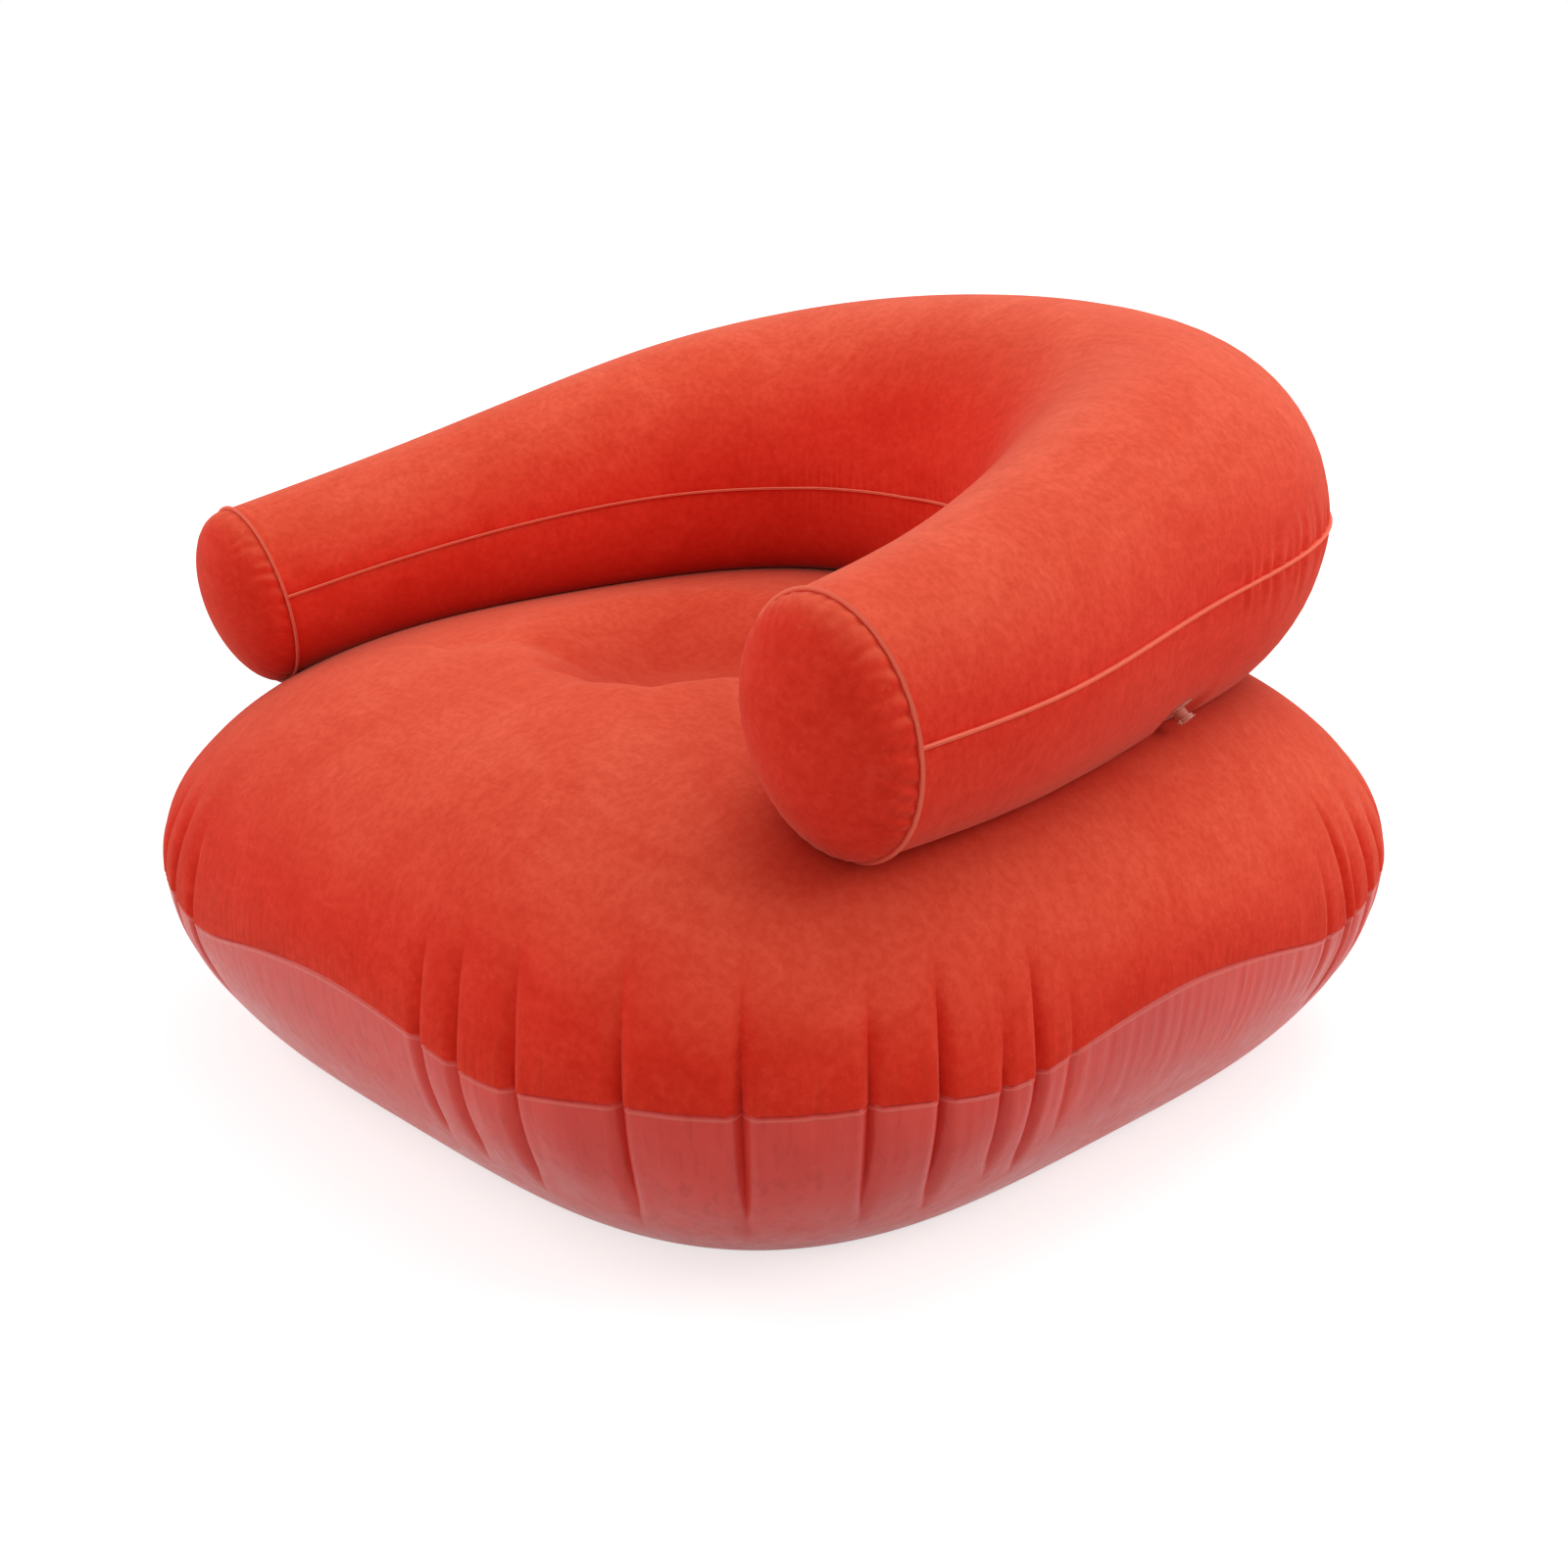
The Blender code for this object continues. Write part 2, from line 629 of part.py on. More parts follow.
def flatten_valve_cell(grid):
    verts = valve_cell(lambda i, j: grid[i][j])
    middle, normal = plane_of([vert.co for vert in verts])
    for vert in verts:
        vert.co -= normal * (vert.co - middle).dot(normal)


def arm_valve_frame():
    """Z out of the film, X along the arm, on the film's outer face."""
    stations = tube_stations()
    step = -180.0 / TUBE_CELLS
    corners = valve_cell(
        lambda i, j: section_point(stations[i], step * (j - 1), -FLOCKED_FILM, -GAP / 2)
    )
    middle, normal = plane_of(corners)
    outward = stations[valve_cell_numbers()[0]][1]
    if normal.dot(outward) < 0:
        normal = -normal
    along = (corners[3] - corners[0]).normalized()
    along = (along - normal * along.dot(normal)).normalized()
    turn = Matrix((along, normal.cross(along), normal)).transposed().to_4x4()
    return Matrix.Translation(middle + normal * FLOCKED_FILM) @ turn


def arm_end_cap(name, number, root, finish):
    """A domed disc: a flat weld lip against the tube's, and the bulge that the air gives it."""
    station = tube_stations()[number]
    way = -1.0 if number == 0 else 1.0
    turns = [360.0 * cell / (2 * TUBE_CELLS) for cell in range(2 * TUBE_CELLS)]
    start = way * GAP / 2
    inside = -FLOCKED_FILM
    rows = [
        ([section_point(station, turn, TUBE_WELD_LIP, 0, start) for turn in turns], 0),
        ([section_point(station, turn, inside, 0, start) for turn in turns], 0),
    ]
    *frame, wide, tall = station
    for angle in CAP_ROW_ANGLES:
        size, depth = math.cos(math.radians(angle)), math.sin(math.radians(angle))
        smaller = (*frame, (wide + inside) * size, (tall + inside) * size)
        along = start + way * CAP_BULGE * depth
        rows.append(([section_point(smaller, turn, 0, 0, along) for turn in turns], 0))
    obj = mesh_object(name, dish(rows, number == 0), root, finish, smooth_angle=60.0)
    thicken(obj, FLOCKED_FILM, outward=True)
    return obj


def surface_of(obj):
    """The object's faces with its film on, in the chair's frame, for measuring."""
    bpy.context.view_layer.update()
    return BVHTree.FromObject(obj, bpy.context.evaluated_depsgraph_get())


def weld_pads(root, seat, tube, finish):
    """Oval pads on the crown's slope, as thick as the room between the seat and the tube."""
    stations = tube_stations()
    crown, underside = surface_of(seat), surface_of(tube)
    for name, share in PAD_SHARES.items():
        middle, _, ahead, *_ = stations[round(share * TUBE_STATIONS)]
        x, y = middle.x, middle.y
        near = PAD_WIDTH / 2
        slope_x = (crown_height(x + near, y) - crown_height(x - near, y)) / (2 * near)
        slope_y = (crown_height(x, y + near) - crown_height(x, y - near)) / (2 * near)
        up = Vector((-slope_x, -slope_y, 1)).normalized()
        along = (ahead - up * ahead.dot(up)).normalized()
        across = up.cross(along)
        rim = [
            along * (PAD_LENGTH / 2 * math.cos(math.tau * i / PAD_SIDES))
            + across * (PAD_WIDTH / 2 * math.sin(math.tau * i / PAD_SIDES))
            for i in range(PAD_SIDES)
        ]
        spots = [offset * share_out for offset in rim for share_out in PAD_PROBE_SHARES]
        plane = Vector((x, y, crown_height(x, y)))
        seat_room = min(crown.ray_cast(plane + spot, -up)[3] for spot in spots)
        foot = plane - up * (seat_room - GAP)
        thickness = min(underside.ray_cast(foot + spot, up)[3] for spot in spots) - GAP
        bm = bmesh.new()
        low = [bm.verts.new(foot + offset) for offset in rim]
        high = [bm.verts.new(foot + offset + up * thickness) for offset in rim]
        bm.faces.new(low[::-1])
        bm.faces.new(high)
        for i in range(PAD_SIDES):
            after = (i + 1) % PAD_SIDES
            bm.faces.new((low[i], low[after], high[after], high[i]))
        mesh_object(name, bm, root, finish)


# Screw valve of the base


def base_valve_frame():
    """Z out of the chair, X along the chair's X, on the rear middle of the lower panel."""
    inset = FLOCKED_FILM + SEAM_LAP_GAP
    ends = []
    for share in BELLY_ROW_SHARES[:2]:
        height = share * BASE_SEAM_HEIGHT
        ends.append(Vector((0, HALF_DEPTH * belly_share_at(height) - inset, height)))
    upper, lower = ends
    up = (upper - lower).normalized()
    out = Vector((-1, 0, 0)).cross(up).normalized()
    turn = Matrix((up.cross(out), up, out)).transposed().to_4x4()
    return Matrix.Translation((upper + lower) / 2) @ turn


def ring_profile(inner, outer, low, high):
    return [(inner, low), (outer, low), (outer, high), (inner, high)]


def base_valve(root, panel, finishes):
    clear, grey, soft = finishes
    axis = empty("base_valve_axis", root, base_valve_frame())
    neck = NECK_BORE_RADIUS + NECK_WALL
    flange_low = GAP
    flange_high = flange_low + VALVE_FLANGE_THICKNESS
    neck_top = flange_low + NECK_OUTSIDE

    hole = turned(
        "neck_hole_cutter",
        [
            (0, -BOOLEAN_OVERRUN), (neck + FILM_HOLE_CLEARANCE, -BOOLEAN_OVERRUN),
            (neck + FILM_HOLE_CLEARANCE, BOOLEAN_OVERRUN), (0, BOOLEAN_OVERRUN),
        ],
        axis, clear,
    )
    cut(panel, hole)

    flange = turned(
        "base_valve_flange",
        [
            (NECK_BORE_RADIUS, -NECK_INSIDE), (neck, -NECK_INSIDE), (neck, flange_low),
            (VALVE_FLANGE_RADIUS, flange_low), (VALVE_FLANGE_RADIUS, flange_high),
            (neck, flange_high), (neck, neck_top), (NECK_BORE_RADIUS, neck_top),
        ],
        axis, clear,
    )
    lug_end = VALVE_FLANGE_RADIUS - GAP
    lug = block(
        "tether_lug",
        (-TETHER_STRAP_WIDTH / 2, -lug_end, flange_high - VALVE_FLANGE_THICKNESS / 2),
        (TETHER_STRAP_WIDTH / 2, TETHER_LUG_LENGTH - lug_end, flange_high + TETHER_LUG_HEIGHT),
        axis, clear,
    )
    join_on(flange, lug)

    # the plug's own origin is on the axis at the top of the neck
    plug_zero = empty("base_valve_plug_turn", axis, Matrix.Translation((0, 0, neck_top)))
    shank = NECK_BORE_RADIUS - NECK_RUNNING_GAP
    hub_low = GAP + GASKET_THICKNESS + GAP
    hub_high = hub_low + HUB_HEIGHT
    head_top = hub_high + HEAD_THICKNESS
    hub = neck - GASKET_SEAT_STEP
    plug = turned(
        "base_valve_plug",
        [
            (NOZZLE_RADIUS, -SHANK_LENGTH), (shank, -SHANK_LENGTH), (shank, hub_low),
            (hub, hub_low), (hub, hub_high), (HEAD_RADIUS, hub_high),
            (HEAD_RADIUS, head_top), (NOZZLE_RADIUS, head_top),
        ],
        plug_zero, grey, 2 * HEAD_LOBES,
    )
    for vert in plug.data.vertices:
        if math.hypot(vert.co.x, vert.co.y) > HEAD_RADIUS - GAP:
            turn = math.atan2(vert.co.y, vert.co.x)
            lobe = round(turn / math.tau * 2 * HEAD_LOBES) % 2
            vert.co.xy *= 1 - lobe * HEAD_LOBE_DEPTH / HEAD_RADIUS

    turned(
        "base_valve_gasket",
        ring_profile(shank + GAP, neck, GAP, GAP + GASKET_THICKNESS),
        plug_zero, soft,
    )

    ring_inner = hub + TETHER_RUNNING_GAP
    ring_outer = neck + TETHER_RING_WIDTH
    ring_middle = (hub_low + hub_high) / 2
    ring_low = ring_middle - TETHER_RING_THICKNESS / 2
    ring_high = ring_middle + TETHER_RING_THICKNESS / 2
    ring = turned(
        "base_valve_tether",
        ring_profile(ring_inner, ring_outer, ring_low, ring_high),
        plug_zero, clear,
    )
    strap_foot = flange_high + GAP - neck_top
    strap_end = lug_end - TETHER_LUG_LENGTH - GAP
    half = TETHER_STRAP_WIDTH / 2
    turn_out = (ring_outer + strap_end) / 2
    line = [
        (ring_outer - TETHER_RING_WIDTH / 2, ring_high), (turn_out, ring_high),
        (strap_end, strap_foot + TETHER_RING_THICKNESS), (strap_end, strap_foot),
        (turn_out - TETHER_RING_THICKNESS / 2, ring_low),
        (ring_outer - TETHER_RING_WIDTH / 2, ring_low),
    ]
    ends = [[(x, -radius, height) for radius, height in line] for x in (-half, half)]
    join_on(ring, bar_between("tether_strap", ends, plug_zero, clear))

    inflation_cap(plug_zero, head_top, clear)
    plug_flap(plug_zero, soft)


def inflation_cap(plug_zero, head_top, finish):
    """Small cap in the plug's nozzle, on a strap that folds at the plug's face."""
    face = GAP
    hinge = empty(
        "inflation_cap_fold", plug_zero, Matrix.Translation((0, CAP_HINGE_OFFSET, head_top + face))
    )
    cap = turned(
        "inflation_cap",
        [
            (0, -face - CAP_PEG_LENGTH), (CAP_PEG_END_RADIUS, -face - CAP_PEG_LENGTH),
            (CAP_PEG_RADIUS, 0), (CAP_RADIUS, 0), (CAP_RADIUS, CAP_THICKNESS),
            (0, CAP_THICKNESS),
        ],
        hinge, finish,
    )
    for vert in cap.data.vertices:
        vert.co.y -= CAP_HINGE_OFFSET
    half = CAP_HINGE_WIDTH / 2
    tab_reach = CAP_HINGE_OFFSET + CAP_RADIUS + CAP_TAB_LENGTH
    bars = [
        ("cap_hinge_bar", -(CAP_HINGE_OFFSET - CAP_RADIUS / 2), 0),
        ("cap_finger_tab", -tab_reach, -CAP_HINGE_OFFSET),
    ]
    for name, low_y, high_y in bars:
        bar = block(name, (-half, low_y, 0), (half, high_y, CAP_THICKNESS / 2), hinge, finish)
        join_on(cap, bar)


def plug_flap(plug_zero, finish):
    """Thin disc that closes the nozzle from inside and folds inwards under the pump's air."""
    level = -SHANK_LENGTH - GAP
    hinge = empty(
        "plug_flap_fold", plug_zero, Matrix.Translation((0, FLAP_HINGE_OFFSET, level))
    )
    flap = turned(
        "base_valve_flap",
        [(0, -FLAP_THICKNESS), (FLAP_RADIUS, -FLAP_THICKNESS), (FLAP_RADIUS, 0), (0, 0)],
        hinge, finish,
    )
    for vert in flap.data.vertices:
        vert.co.y -= FLAP_HINGE_OFFSET
    half = FLAP_HINGE_WIDTH / 2
    low = (-half, -(FLAP_HINGE_OFFSET - FLAP_RADIUS / 2), -FLAP_THICKNESS)
    bar = block("flap_hinge_bar", low, (half, 0, 0), hinge, finish)
    join_on(flap, bar)


# Push-in valve of the tube


def arm_valve(root, panel, finishes):
    clear, soft = finishes
    axis = empty("arm_valve_axis", root, arm_valve_frame())
    sleeve = STEM_RADIUS + STEM_RUNNING_GAP
    hole = turned(
        "stem_hole_cutter",
        [
            (0, -BOOLEAN_OVERRUN), (sleeve + FILM_HOLE_CLEARANCE, -BOOLEAN_OVERRUN),
            (sleeve + FILM_HOLE_CLEARANCE, BOOLEAN_OVERRUN), (0, BOOLEAN_OVERRUN),
        ],
        axis, clear,
    )
    cut(panel, hole)
    turned(
        "arm_valve_flange",
        ring_profile(sleeve, ARM_FLANGE_RADIUS, GAP, GAP + ARM_FLANGE_THICKNESS),
        axis, clear,
    )

    stem_zero = empty("arm_valve_stem_slide", axis, Matrix.Translation((0, 0, STEM_OUTSIDE)))
    lip_low = -STEM_LIP_THICKNESS
    stem = turned(
        "arm_valve_stem",
        [
            (STEM_BORE_RADIUS, -STEM_OUTSIDE - STEM_INSIDE),
            (STEM_RADIUS, -STEM_OUTSIDE - STEM_INSIDE), (STEM_RADIUS, lip_low),
            (STEM_LIP_RADIUS, lip_low), (STEM_LIP_RADIUS, 0), (STEM_BORE_RADIUS, 0),
        ],
        stem_zero, clear,
    )
    stopper = turned(
        "arm_valve_stopper",
        [
            (0, GAP - STOPPER_PEG_LENGTH), (STOPPER_PEG_RADIUS, GAP - STOPPER_PEG_LENGTH),
            (STOPPER_PEG_RADIUS, GAP), (STOPPER_HEAD_RADIUS, GAP),
            (STOPPER_HEAD_RADIUS, GAP + STOPPER_HEAD_THICKNESS),
            (0, GAP + STOPPER_HEAD_THICKNESS),
        ],
        stem_zero, clear,
    )
    half = STOPPER_TAB_WIDTH / 2
    tab = block(
        "stopper_tab",
        (STOPPER_HEAD_RADIUS / 2, -half, GAP),
        (STOPPER_HEAD_RADIUS + STOPPER_TAB_LENGTH, half, GAP + STRAP_THICKNESS),
        stem_zero, clear,
    )
    join_on(stopper, tab)
    join_on(stem, stopper_strap(stem_zero, clear))

    level = -STEM_OUTSIDE - STEM_INSIDE - GAP
    hinge = empty(
        "arm_flap_fold", stem_zero, Matrix.Translation((0, ARM_FLAP_HINGE_OFFSET, level))
    )
    flap = turned(
        "arm_valve_flap",
        [(0, -FLAP_THICKNESS), (ARM_FLAP_RADIUS, -FLAP_THICKNESS), (ARM_FLAP_RADIUS, 0), (0, 0)],
        hinge, soft,
    )
    for vert in flap.data.vertices:
        vert.co.y -= ARM_FLAP_HINGE_OFFSET


def stopper_strap(stem_zero, finish):
    """Strap that loops from the stem's lip round to the stopper's rim."""
    root_x = STEM_LIP_RADIUS - STRAP_THICKNESS
    near_x, far_x = STOPPER_HEAD_RADIUS + GAP, STEM_LIP_RADIUS + STRAP_BOW
    low, high = -STEM_LIP_THICKNESS, GAP + STRAP_THICKNESS
    loop = [
        (-root_x, low), (-far_x, low), (-far_x, high), (-near_x, high), (-near_x, GAP),
        (STRAP_THICKNESS - far_x, GAP), (STRAP_THICKNESS - far_x, low + STRAP_THICKNESS),
        (-root_x, low + STRAP_THICKNESS),
    ]
    ends = [[(x, y, z) for x, z in loop] for y in (-STRAP_WIDTH / 2, STRAP_WIDTH / 2)]
    return bar_between("stopper_strap", ends, stem_zero, finish)


def main():
    clear_scene()
    bpy.context.scene.unit_settings.scale_length = 1.0
    flock = material("flocked_film", (0.75, 0.10, 0.045), 0.85)
    smooth = material("smooth_film", (0.62, 0.09, 0.06), 0.35)
    tie_film = material("tie_film", (0.80, 0.62, 0.58), 0.45)
    clear = material("clear_vinyl", (0.80, 0.78, 0.76), 0.30, alpha=0.6)
    grey = material("valve_plug", (0.55, 0.56, 0.58), 0.45)
    soft = material("valve_rubber", (0.08, 0.08, 0.08), 0.70)

    chair = empty("chair", None, Matrix.Translation((0, CHAIR_SHIFT_Y, 0)))
    seat = seat_top_panel(chair, flock)
    lower = base_lower_panel(chair, smooth)
    tie(chair, tie_film)
    tube_panel("arm_upper_panel", 1, chair, flock)
    arm_lower = tube_panel("arm_lower_panel", -1, chair, flock)
    arm_end_cap("arm_end_cap_right", 0, chair, flock)
    arm_end_cap("arm_end_cap_left", TUBE_STATIONS, chair, flock)
    weld_pads(chair, seat, arm_lower, smooth)
    base_valve(chair, lower, (clear, grey, soft))
    arm_valve(chair, arm_lower, (clear, soft))


main()
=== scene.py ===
# %% [markdown]
# # A flocked inflatable armchair
# The chair is two air chambers made of welded vinyl film: a square pillow that carries the sitter,
# and a fat horseshoe tube on it that makes the arms and the back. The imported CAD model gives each
# piece its place and size. This lesson dresses it: it models each film with the pleats and welds that
# air pressure puts in it, and gives each surface its finish.

# %% Load the frame
import json
import math

import bmesh
import bpy
import numpy as np
from mathutils import Matrix, Vector


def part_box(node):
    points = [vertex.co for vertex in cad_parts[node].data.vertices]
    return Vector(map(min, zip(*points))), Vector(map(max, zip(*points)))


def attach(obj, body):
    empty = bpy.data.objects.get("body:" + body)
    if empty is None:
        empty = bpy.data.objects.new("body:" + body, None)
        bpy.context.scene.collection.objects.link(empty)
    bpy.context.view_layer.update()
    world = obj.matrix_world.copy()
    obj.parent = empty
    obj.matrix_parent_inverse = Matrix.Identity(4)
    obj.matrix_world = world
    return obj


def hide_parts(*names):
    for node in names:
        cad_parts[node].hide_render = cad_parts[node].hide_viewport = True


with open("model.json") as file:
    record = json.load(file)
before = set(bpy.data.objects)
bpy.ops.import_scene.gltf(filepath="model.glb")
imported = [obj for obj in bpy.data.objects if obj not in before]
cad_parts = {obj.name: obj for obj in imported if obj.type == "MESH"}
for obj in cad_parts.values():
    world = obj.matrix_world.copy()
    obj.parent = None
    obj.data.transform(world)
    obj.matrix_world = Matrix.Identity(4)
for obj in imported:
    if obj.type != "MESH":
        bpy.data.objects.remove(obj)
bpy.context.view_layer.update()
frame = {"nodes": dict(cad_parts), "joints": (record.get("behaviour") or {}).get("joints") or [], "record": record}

# %% [markdown]
# ## Camera
# The photograph was taken from the front right, a little above the arms. Its direction, distance and
# focal length were worked out from the chair's outline, so the camera stands at that place, and a small
# shift puts the chair where the picture has it. A Track To constraint could aim the camera, but it would
# leave out the slight roll, so the turn is worked out from three angles.

# %% Camera
PICTURE_SIDE = 1600
SENSOR_WIDTH = 36.0
FOCAL_PIXELS = 2070.8
CENTRE_PIXEL = (787.18, 775.05)
CAMERA_PLACE = Vector((1.5248, -1.3892, 0.9029))
CAMERA_AZIMUTH, CAMERA_ELEVATION, CAMERA_ROLL = (math.radians(a) for a in (47.657, 17.061, -1.097))


def camera_turn(azimuth, elevation, roll):
    """The camera's axes: it looks back along its own Z, with X to the right and Y up."""
    back = Vector((
        math.sin(azimuth) * math.cos(elevation),
        -math.cos(azimuth) * math.cos(elevation),
        math.sin(elevation),
    ))
    right = Vector((math.cos(azimuth), math.sin(azimuth), 0))
    up = back.cross(right)
    rolled_right = right * math.cos(roll) + up * math.sin(roll)
    return Matrix((rolled_right, back.cross(rolled_right), back)).transposed().to_4x4()


camera_data = bpy.data.cameras.new("camera")
camera_data.sensor_width = SENSOR_WIDTH
camera_data.lens = FOCAL_PIXELS * SENSOR_WIDTH / PICTURE_SIDE
camera_data.shift_x = 0.5 - CENTRE_PIXEL[0] / PICTURE_SIDE
camera_data.shift_y = CENTRE_PIXEL[1] / PICTURE_SIDE - 0.5
camera = bpy.data.objects.new("camera", camera_data)
bpy.context.collection.objects.link(camera)
turn = camera_turn(CAMERA_AZIMUTH, CAMERA_ELEVATION, CAMERA_ROLL)
camera.matrix_world = Matrix.Translation(CAMERA_PLACE) @ turn
bpy.context.scene.camera = camera
print("lens", round(camera_data.lens, 2), "mm")

# %% [markdown]
# ## Node helpers
# Every finish below is a small graph of shader nodes. They could be wired one line at a time, but that
# hides the idea in bookkeeping. These helpers add a node, fill its sockets and link it in one call, so
# each finish can be read as a few lines of arithmetic on its patterns.

# %% Node helpers
class Graph:
    """The nodes of a material or of the world, with short ways to add more."""

    def __init__(self, owner, shader="Principled BSDF"):
        owner.use_nodes = True
        self.owner = owner
        self.tree = owner.node_tree
        self.shader = self.tree.nodes[shader]

    def put(self, target, value):
        """Links another node's socket to the target, or writes a plain value into it."""
        if isinstance(value, bpy.types.NodeSocket):
            self.tree.links.new(value, target)
        else:
            target.default_value = value

    def node(self, kind, sockets=None, **settings):
        made = self.tree.nodes.new(kind)
        for key, value in settings.items():
            setattr(made, key, value)
        for key, value in (sockets or {}).items():
            self.put(made.inputs[key], value)
        return made

    def shade(self, sockets):
        """Fills sockets of the shader itself."""
        for key, value in sockets.items():
            self.put(self.shader.inputs[key], value)

    def spot(self, output="Object"):
        """The shaded point's place on the piece, or with Normal the way it faces."""
        return self.node("ShaderNodeTexCoord").outputs[output]

    def attribute(self, name):
        return self.node("ShaderNodeAttribute", attribute_name=name).outputs["Fac"]

    def maths(self, operation, *values):
        return self.node("ShaderNodeMath", dict(enumerate(values)), operation=operation).outputs[0]

    def stretch(self, scale, turn=(0.0, 0.0, 0.0)):
        """Places scaled along each axis and turned, on which a pattern runs in strokes."""
        sockets = {"Vector": self.spot(), "Scale": scale, "Rotation": turn}
        return self.node("ShaderNodeMapping", sockets).outputs["Vector"]

    def noise(self, scale, detail=3.0, rough=0.5, place=None, warp=0.0):
        sockets = {"Vector": place or self.spot(), "Scale": scale, "Detail": detail}
        sockets |= {"Roughness": rough, "Distortion": warp}
        return self.node("ShaderNodeTexNoise", sockets).outputs["Fac"]

    def span(self, value, low, high, new_low=0.0, new_high=1.0):
        """Maps low..high softly onto new_low..new_high and holds the ends beyond them."""
        sockets = dict(enumerate((value, low, high, new_low, new_high)))
        return self.node("ShaderNodeMapRange", sockets, interpolation_type="SMOOTHSTEP").outputs["Result"]

    def blend(self, share, first, second):
        """The first number where the share is 0, the second where it is 1."""
        return self.node("ShaderNodeMix", {0: share, 2: first, 3: second}, data_type="FLOAT").outputs[0]

    def mix(self, share, first, second, way="MIX"):
        """The same for two colours."""
        sockets = {0: share, 6: first, 7: second}
        return self.node("ShaderNodeMix", sockets, data_type="RGBA", blend_type=way).outputs[2]

    def tint(self, base, pattern, low, high, tone, most=1.0, way="MIX"):
        """Takes the base colour towards the tone as the pattern goes from low to high."""
        return self.mix(self.span(pattern, low, high, 0.0, most), base, tone, way)

    def bump(self, height, distance, strength, after=None):
        sockets = {"Height": height, "Distance": distance, "Strength": strength}
        if after is not None:
            sockets["Normal"] = after
        return self.node("ShaderNodeBump", sockets).outputs["Normal"]


def colour(red, green, blue):
    return (red, green, blue, 1.0)


# %% [markdown]
# ## Floor and light
# The picture is a studio cut-out on white. A white sweep stands in for it, and big soft lamps light the
# chair from above and from all round, as in a photographer's tent: the tops are brightest, the sides a
# little deeper, and the creases dark. Stronger lamps could whiten the floor as well, but they would bleach
# the chair, so the floor glows by itself, only for the camera and for what mirrors it or shows it through.

# %% Floor
WHITE = colour(1.0, 1.0, 1.0)
FLOOR_SIDE, FLOOR_DROP = 40.0, 0.0005
FLOOR_GREY, FLOOR_ROUGHNESS = 0.52, 0.9
# the floor's glow by the chair and far off, and the two distances between which it grows
GLOW_NEAR, GLOW_FAR, GLOW_FROM, GLOW_TO = 0.66, 0.86, 0.9, 5.0


def seen_rays(g):
    """1 for rays from the camera, a mirror or through clear plastic, 0 for the light on the chair."""
    rays = g.node("ShaderNodeLightPath").outputs
    indirect = g.maths("MAXIMUM", rays["Is Glossy Ray"], rays["Is Transmission Ray"])
    return g.maths("MAXIMUM", rays["Is Camera Ray"], indirect)


bpy.ops.object.select_all(action="DESELECT")
bpy.ops.mesh.primitive_plane_add(size=FLOOR_SIDE, location=(0, 0, -FLOOR_DROP))
floor = bpy.context.object
floor.name = "floor"
g = Graph(bpy.data.materials.new("studio_white"))
g.shade({"Base Color": colour(FLOOR_GREY, FLOOR_GREY, FLOOR_GREY), "Roughness": FLOOR_ROUGHNESS})
away = g.node("ShaderNodeVectorMath", {0: g.spot()}, operation="LENGTH").outputs["Value"]
own_light = g.span(away, GLOW_FROM, GLOW_TO, GLOW_NEAR, GLOW_FAR)
seen = g.maths("MULTIPLY", own_light, seen_rays(g))
glow = g.node("ShaderNodeEmission", {"Color": WHITE, "Strength": seen})
both = g.node("ShaderNodeAddShader", {0: g.shader.outputs[0], 1: glow.outputs[0]})
g.put(g.tree.nodes["Material Output"].inputs["Surface"], both.outputs[0])
floor.data.materials.append(g.owner)
print("floor", FLOOR_SIDE, "m wide")

# %% World and lamps
ROOM_LIGHT = 0.58
LAMP_AIM = Vector((0, 0, 0.3))
# each lamp's place, diameter and power
LAMPS = {
    "top_lamp": ((0.3, 0.5, 3.2), 2.4, 11),
    "left_lamp": ((-2.6, -2.0, 2.2), 2.0, 33),
    "right_lamp": ((2.7, 1.7, 2.2), 2.0, 38),
    "front_lamp": ((0.4, -3.2, 1.7), 2.0, 11),
    "back_lamp": ((0.2, 2.6, 2.8), 2.0, 20),
}

world = bpy.data.worlds.new("studio")
bpy.context.scene.world = world
g = Graph(world, "Background")
g.shade({"Color": WHITE, "Strength": ROOM_LIGHT})
white = g.node("ShaderNodeBackground", {"Color": WHITE, "Strength": 1.0})
choice = g.node("ShaderNodeMixShader", {0: seen_rays(g), 1: g.shader.outputs[0], 2: white.outputs[0]})
g.put(g.tree.nodes["World Output"].inputs["Surface"], choice.outputs[0])

for name, (place, diameter, power) in LAMPS.items():
    data = bpy.data.lights.new(name, "AREA")
    data.shape = "DISK"
    data.size = diameter
    data.energy = power
    lamp = bpy.data.objects.new(name, data)
    bpy.context.collection.objects.link(lamp)
    lamp.rotation_euler = (LAMP_AIM - Vector(place)).to_track_quat("-Z", "Y").to_euler()
    lamp.location = place
bpy.context.scene.view_settings.view_transform = "Standard"
print("lamps", len(LAMPS), "with", sum(power for _, _, power in LAMPS.values()), "W in all")

# %% [markdown]
# ## Flocked film
# Flock is short fibre stood on end on the vinyl. It scatters light widely, glows a little where it is seen
# edge-on, and shows lighter and darker strokes where a hand has brushed the nap. Hair could be grown for
# it, but that takes millions of strands, and they would be lost in an export. So the finish is all shader:
# stretched and turned noise makes the strokes, fine noise the fibres, and sheen the glow.

